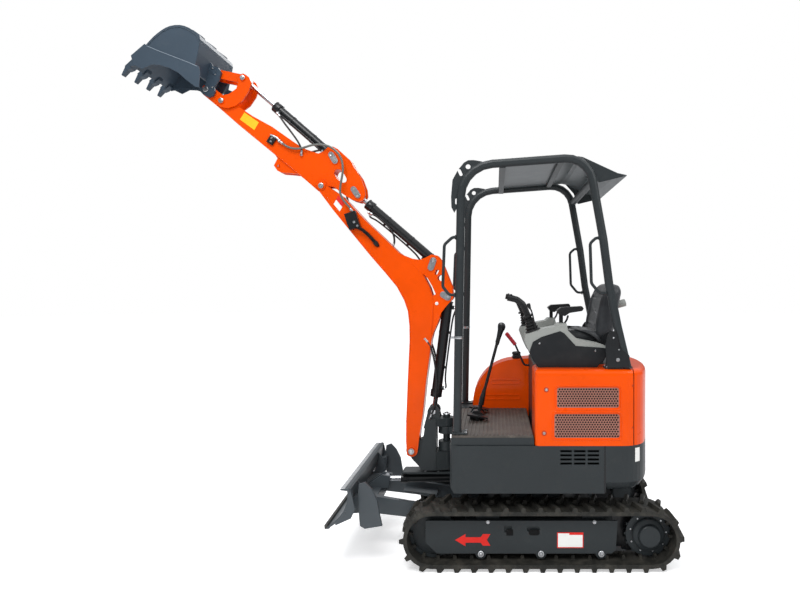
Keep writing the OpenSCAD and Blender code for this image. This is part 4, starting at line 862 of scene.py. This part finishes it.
def washers(link, pin, r, y):
    """A big washer and a bolt head on both ends of a pin."""
    parts = []
    p = on(link, *pin)
    for side in (1, -1):
        where = metres(p[0], y * side, p[1])
        parts.append(lathe([(5, -0.5), (r, -0.5), (r + 0.6, 1), (r, 3.4), (r - 1.5, 4), (5, 4)], where,
                           (0, side, 0), 28))
        parts += bolt(p[0], (y + 4) * side, p[1], r * 0.5, side)
    return parts


boom_pins = keeper(BOOM, (844, 529), (870, 507), 20.3, 59.2)
boom_pins += keeper(BOOM, (1094, 517), (1057, 488), 20.3, 59.2)
boom_pins += washers(BOOM, (BOOM_LENGTH, 0), 17, 66)
boom_pins += [part for x, z in ((1478, 129), (1449, 140)) for part in bolt(*point(BOOM, x, z, 96.4), 7)]
piece("boom_pins", boom_pins, "boom", zinc)
piece("foot_pin_caps", washers(BOOM, (0, 0), 19, 72), "swing", zinc)
king = [lathe([(8, -1), (26, -1), (26.5, 3), (24, 6), (10, 6.4), (8, 5)], metres(570, 0, 780), (0, 0, 1),
              32)]
king += bolt(570, 0, 786, 11, axis=(0, 0, 1))
for s in (1, -1):
    king += [lathe([(9, 0), (15.2, 0), (15.4, 3), (13, 5), (6, 5)], metres(650, 55 * s, 802), (0, s, 0),
                   24)]
piece("king_pin_cap", king, "swing", zinc)
piece("boom_label_top",
      [slab([on(BOOM, x, z) for x, z in ((1677, 80), (1618, 101), (1599, 82), (1655, 60))], 56.05, 56.6,
            0.1)], "boom", red_film, False)
piece("boom_label_blank",
      [slab([on(BOOM, x, z) for x, z in ((1655, 60), (1599, 82), (1578, 57), (1634, 36))], 56.05, 56.6,
            0.1)], "boom", white_film, False)
plugs = dome(*point(BOOM, 830, 450, 54), 11) + dome(*point(BOOM, 830, 450, -54), 11, -1)
piece("boom_plug", plugs, "boom", white_film)


def braided(name, colour, rough):
    """Hose cover: a braid of two crossing sets of bands 4 mm apart over rubber, with a soft
    shine."""
    cover, tree, out, place = new_finish(name)
    waves = []
    for lean in (0.8, -0.8):
        turned = add_node(tree, "Mapping", {"Rotation": (0, lean, 0.3)}, {"Vector": place})
        waves.append(add_node(tree, "TexWave", {"Scale": 80.0, "Distortion": 0.4},
                              {"Vector": turned.outputs[0]}))
    cross = add_node(tree, "Math", {"operation": "MULTIPLY"},
                     {0: waves[0].outputs["Fac"], 1: waves[1].outputs["Fac"]})
    hue = ramp(tree, cross.outputs[0], (0, scaled(colour, 0.6)), (1, scaled(colour, 1.4)))
    bump = add_node(tree, "Bump", {"Strength": 0.4, "Distance": 0.0006}, {"Height": cross.outputs[0]})
    finished(tree, out, {"Roughness": rough}, hue, bump)
    return cover


grey_braid = braided("grey_braid", "#6b6d68", 0.38)
black_hose = braided("black_hose", "#1b1c1e", 0.42)


def hose(name, knots, diameter, finish, body, other=None):
    """A hose through knots in mm from the slewing axis (x, y, z), with a crimped ferrule and a
    hexagon nut at each end. With another body it bends between the two."""
    count = 40
    path = smooth_path([metres(x, y, z) for x, y, z in knots], count)
    made = put(name, *tube(path, diameter / 2, 14), True)
    made.data.materials.append(finish)
    ends = []
    for tip, way in ((path[0], path[0] - path[2]), (path[-1], path[-1] - path[-3])):
        r = diameter * 500
        sleeve = [(r * 0.7, -24), (r + 1.5, -23), (r + 2.2, -21), (r + 2.2, -5), (r + 1.2, -3),
                  (r * 0.9, -2), (r * 0.9, 3)]
        ends.append([lathe(sleeve, tip, way, 18),
                     lathe([(r * 0.8, -1), (r + 3.4, -0.6), (r + 3.6, 8), (r + 1.5, 10), (r * 0.6, 10)],
                           tip, way, 6)])
    if other is None:
        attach(made, body)
        piece(name + "_nuts", ends[0] + ends[1], body, zinc)
    else:
        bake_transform(made)
        piece(name + "_nut_a", ends[0], body, zinc)
        piece(name + "_nut_b", ends[1], other, zinc)
    return made


over = [(1157, 72, 2067), (1171, 73, 2090), (1213, 78, 2140), (1231, 84, 2188), (1224, 88, 2250),
        (1213, 88, 2323),
        (1222, 86, 2391), (1253, 82, 2440), (1311, 76, 2480), (1398, 70, 2488), (1490, 64, 2466),
        (1560, 60, 2474), (1618, 58, 2512)]
for side, label in SIDES:
    hose("arm_hose_" + label, [(x, y * side, z) for x, y, z in over], 0.0135, grey_braid, "boom", "arm")
ribs = smooth_path([metres(*point(BOOM, x, z, y)) for x, z, y in
                    ((1450, 128, 92), (1420, 158, 84), (1380, 182, 72), (1340, 200, 69), (1315, 209, 68))],
                    220)
wave = np.abs(((np.arange(220) * 0.155) % 1) - 0.5) * 2
piece("ribbed_sleeve", [tube(ribs, 0.0095 + 0.0028 * wave, 16)], "boom", black_plastic)
boot = [(11, -6), (14, -4), (15, 6), (14, 18), (10, 30), (6, 34)]
boot_at = on(BOOM, 1318, 208)
boot_way = (on(BOOM, 1283, 221)[0] - boot_at[0], -16, on(BOOM, 1283, 221)[1] - boot_at[1])
piece("sleeve_boot", [lathe(boot, metres(boot_at[0], 68, boot_at[1]), boot_way, 20)], "boom", black_plastic)


# Cylinders: glands, ports, hard lines and their hoses
# A ribbed gland nut closes each barrel; a weld bead runs round its base, and two port bosses
# take a hard line and a hose.
def between(a, b):
    """The start, unit direction and one square direction of a cylinder, from two points in mm
    from the slewing axis."""
    start = np.array(metres(a[0], 0, a[1]))
    way = np.array((b[0] - a[0], 0, b[1] - a[1])) / math.dist(a, b)
    return start, way, np.array((-way[2], 0, way[0]))


def cylinder_trim(a, b, length, d, lean):
    """Gland nut, base weld, two port bosses and the hard line between them along the barrel.
    They stand on its under side, leant towards +Y by an angle in degrees."""
    start, way, up = between(a, b)
    up = -up * math.cos(math.radians(lean)) + np.array((0, math.sin(math.radians(lean)), 0))
    r = d / 2
    gland = [(r + 1, -44), (r + 4.4, -43.5), (r + 5.2, -41), (r + 5.2, -14), (r + 4.2, -12), (r + 4.2, -9),
             (r + 5.2, -7), (r + 5.2, -1.5), (r + 3.6, 0.5), (17, 1.2), (17, 0)]
    dark = [lathe(gland, start + way * length / 1000, way, 36)]
    dark.append(weld(ring_path(start + way * 0.031, (r + 0.4) / 1000, way), 0.003))
    ports, line = [], []
    for at in (0.062, length / 1000 - 0.058):
        foot = start + way * at + up * (r - 2) / 1000
        dark.append(lathe([(9, 0), (13, 0), (13, 12), (11.5, 14), (9, 14)], foot, up, 20))
        ports.append(lathe([(8, 12), (10, 12.6), (10, 20), (7, 21), (7, 26), (5, 26)], foot, up, 6))
    low = start + way * 0.062 + up * (r + 18) / 1000
    high = start + way * (length / 1000 - 0.058) + up * (r + 18) / 1000
    knots = [high, high + up * 0.006 - way * 0.012, high - way * 0.06 - up * 0.004,
             high - way * 0.14 - up * 0.008,
             low + way * 0.16 - up * 0.008, low + way * 0.06 - up * 0.004, low + way * 0.012 + up * 0.006,
             low]
    line.append(tube(smooth_path(knots, 60), 0.0055, 12))
    for part in (0.35, 0.7):
        spot = start + way * (length / 1000 * part)
        dark.append(lathe([(r + 0.2, -6), (r + 1.6, -6), (r + 1.8, 0), (r + 1.6, 6), (r + 0.2, 6)], spot,
                          way, 36))
        dark.append(lathe([(4, 0), (9, 0), (9, 11), (7, 13), (4, 13)], spot + up * (r - 1) / 1000, up, 12))
    return dark + line, ports


boom_base, boom_tip = on(BOOM, 844, 529), (650, 802)
arm_base, arm_tip = on(BOOM, 1094, 517), on(ARM, -213, 101)
dig_base, dig_tip = on(ARM, 82, 191), on(ARM, 814, 204)
for name, a, b, length, d, lean, body in (
    ("boom", boom_base, boom_tip, 640, 64, 0, "boom_barrel"),
    ("arm", arm_base, arm_tip, 562, 60, 0, "arm_barrel"),
    ("bucket", dig_base, dig_tip, 490, 60, 62, "bucket_barrel"),
):
    dark, bright = cylinder_trim(a, b, length, d, lean)
    piece(name + "_cylinder_gland", dark, body, black_satin)
    piece(name + "_cylinder_ports", bright, body, zinc)
feed = [point(BOOM, x, z, y) for x, z, y in
        ((1262, 292, 20), (1290, 318, 20), (1350, 326, 20), (1420, 300, 20), (1480, 262, 20),
         (1516, 226, 20))]
hose("arm_cylinder_hose", feed, 0.0125, black_hose, "boom", "arm_barrel")
for s, label in SIDES:
    rise = [(668, 62 * s, 770), (640, 64 * s, 850), (630, 60 * s, 980), (640, 56 * s, 1110),
            (668, 52 * s, 1216), (700, 50 * s, 1262)]
    hose("boom_foot_hose_" + label, rise, 0.013, black_hose, "swing", "boom")
dig = [point(ARM, x, z, y) for x, z, y in
       ((226, 72, 53), (244, 96, 58), (286, 118, 62), (350, 136, 63), (430, 154, 60), (480, 167, 53),
        (506, 173, 47))]
hose("bucket_cylinder_hose", dig, 0.0115, black_hose, "arm", "bucket_barrel")


# Arm: pins, washers, hose block and blank plate
# The arm carries a black clamp block with two bolts where the hoses land, and a yellow plate,
# left blank.
arm_pins = keeper(ARM, (-213, 101), (-167, 114), 18.4, 52.2) + keeper(ARM, (82, 191), (37, 176), 18.4, 52.2)
arm_pins += washers(ARM, (827, 7), 16, 67)
block_bolts = []
for s in (1, -1):
    for x, z in ((424, 10), (433, 30)):
        block_bolts += bolt(*point(ARM, x, z, 61 * s), 5.5, s)
piece("arm_pins", arm_pins + block_bolts, "arm", zinc)
block = []
for s in (1, -1):
    edges = [on(ARM, x, z) for x, z in ((404, -4), (446, -8), (452, 36), (410, 44))]
    block.append(flank(edges, 45.1, 61, s, 1.5))
piece("arm_hose_blocks", block, "arm", black_plastic)
landing = []
for s in (1, -1):
    spots = [on(ARM, x, z) for x, z in ((452, 40), (430, 48), (404, 52), (386, 46))]
    path = [metres(p[0], y * s, p[1]) for p, y in zip(spots, (52, 56, 58, 58))]
    landing.append(tube(smooth_path(path, 14), 0.008, 12))
piece("arm_hose_landings", landing, "arm", zinc)
yellow_film = painted("yellow_film", "#f2b61c", 0.38, 0.0012, 0.02)
for s, label in SIDES:
    edges = [on(ARM, x, z) for x, z in ((676, 44), (566, 54), (556, -2), (670, -9))]
    piece("arm_plate_" + label, [flank(edges, 45.05, 45.6, s, 0.1)], "arm", yellow_film, False)
piece("rocker_washers", washers(ARM, (814, 204), 15, 69), "rocker", zinc)
beads = []
for s in (1, -1):
    outline = [on(ARM, x, z) for x, z in ((700, -38), (500, -38), (300, -37), (100, -36))]
    beads.append(weld([metres(x, 45.2 * s, z + 3) for x, z in outline], 0.0022))
    outline = [on(ARM, x, z) for x, z in ((373, -31), (300, -36), (215, -36), (160, -34))]
    beads.append(weld([metres(x, 38.5 * s, z - 3) for x, z in outline], 0.003))
piece("arm_welds", beads, "arm", orange_enamel)
beads = []
for s in (1, -1):
    edge = [on(BOOM, x, z) for x,
            z in ((180, 26), (426, 125), (659, 217), (754, 248), (844, 268), (916, 268), (1010, 252),
                  (1111, 214), (1408, 98), (1700, 6))]
    beads.append(weld([metres(x, 56.2 * s, z) for x, z in edge], 0.0022))
    edge = [on(BOOM, x, z) for x,
            z in ((205, 141), (388, 224), (524, 292), (615, 335), (744, 391), (841, 428))]
    beads.append(weld([metres(x, 56.2 * s, z) for x, z in edge], 0.0022))
piece("boom_welds", beads, "boom", orange_enamel)


# Bucket: welds, side cutters, wear strips and ear bolts
# The bucket has a weld bead along each side plate's edge, a side cutter plate outside each of
# them with a bead along its upper edge in a light slate, a painted highlight, three wear strips
# under the bowl and small bolts that lock the pins.
pin_caps, beads, ear_bolts = [], [], []
bowl = [(2, 253), (28, 284), (81, 309), (137, 316), (196, 299), (240, 266), (283, 217), (316, 165),
        (341, 120)]
for s in (1, -1):
    hem = [on(BUCKET, x * 0.965 + 4, z * 0.965 - 2) for x, z in bowl]
    beads.append(weld([metres(x, 220.4 * s, z) for x, z in hem], 0.003))
    rim = [(5, -0.5), (17, -0.5), (17.5, 2), (15, 4), (6, 4)]
    pin_caps.append(lathe(rim, metres(*point(BUCKET, 0, 0, 70 * s)), (0, s, 0), 28))
    for x, z in ((-38, 20), (-40, 105), (-18, 138)):
        ear_bolts += bolt(*point(BUCKET, x, z, 65 * s), 5.5, s)
piece("bucket_welds", beads, "bucket", slate_satin)
cutter = [(2373, 3058.8), (2350.4, 3041.9), (2046.1, 2923.8), (2037.6, 2891.2), (2043.7, 2794.8),
          (2067.8, 2799.6),
          (2119.6, 2839.4), (2166.6, 2882.2), (2222.6, 2911.7), (2282.9, 2929.8), (2332.9, 2932.2),
          (2386.5, 2905.5),
          (2440.2, 2931.8), (2455.6, 2987.6)]
cutters, edges = [], []
for s in (1, -1):
    cutters.append(flank(cutter, 220.2, 225, s, 1.2))
    line = [(2360, 3045.6), (2300, 3020), (2200, 2981.2), (2100, 2942.4), (2054, 2922)]
    edges.append(weld([metres(x, 224.5 * s, z) for x, z in line], 0.0026, 0.006))
piece("side_cutters", cutters, "bucket", slate_satin)
# A light slate along the side cutters' upper edges: painted highlight on the bead.
slate_highlight = painted("slate_highlight", "#76828e", 0.34, 0.0008, 0.05)
piece("side_cutter_highlight_beads", edges, "bucket", slate_highlight)
piece("bucket_pin_caps", pin_caps + ear_bolts, "bucket", zinc)
strips = []
for y in (-150, 0, 150):
    arcs = []
    for k, (x, z) in enumerate(bowl):
        a, b = bowl[max(k - 1, 0)], bowl[min(k + 1, len(bowl) - 1)]
        n = np.array((-(b[1] - a[1]), b[0] - a[0])) / math.dist(a, b)
        arcs.append((np.array((x, z)) + n, np.array((x, z)) + 7.5 * n))
    rings = []
    for inside, outside in arcs[1:]:
        p, q = on(BUCKET, *inside), on(BUCKET, *outside)
        rings.append([metres(p[0], y - 24, p[1]), metres(p[0], y + 24, p[1]),
                      metres(q[0], y + 21, q[1]), metres(q[0], y - 21, q[1])])
    strips.append(skin(np.array(rings)[:, ::-1]))
piece("bucket_wear_strips", strips, "bucket", slate_satin)


# Blade and guard: bolts, worn edges, a painted highlight and gussets
# The blade's cutting edge is scraped bare, and a bright zinc strip along its top edge is worn
# metal and a painted highlight. Thin gussets in the blade's lightened charcoal stand between its
# arms. Four bolts hold the plate over its cylinder.
guard_bolts = []
for x in (620, 700):
    for y in (40, -40):
        guard_bolts += bolt(x, y, 424, 7, axis=(0, 0, 1))
piece("guard_bolts", guard_bolts, "undercarriage", zinc)
edge_strip = [slab([(1184, 243), (1209, 241), (1212, 262), (1196, 264)], -489, 489, 1.5)]
piece("blade_edge", edge_strip, "blade", worn_steel)
# A bright strip on the blade's top edge: worn metal, and a painted highlight along that edge.
piece("blade_top_edge_wear_and_highlight",
      [slab([(1097, 465.6), (1121, 465.6), (1120, 467.4), (1098, 467.4)], -489, 489, 0.4)], "blade", zinc)
# The gussets take the blade's lightened charcoal, painted light.
gussets = [flank([(640, 212), (860, 252), (860, 262), (640, 236)], 76, 177, s, 2) for s in (1, -1)]
piece("blade_gussets", gussets, "blade", blade_lightened_charcoal)
pivots = []
for s in (1, -1):
    pivots += bolt(470, 254 * s, 200, 9, s)
    pivots += [lathe([(8, 0), (17, 0), (17.4, 2), (15, 4), (6, 4)], metres(470, 253.2 * s, 200), (0, s, 0),
                     24)]
piece("blade_pivots", pivots, "undercarriage", zinc)
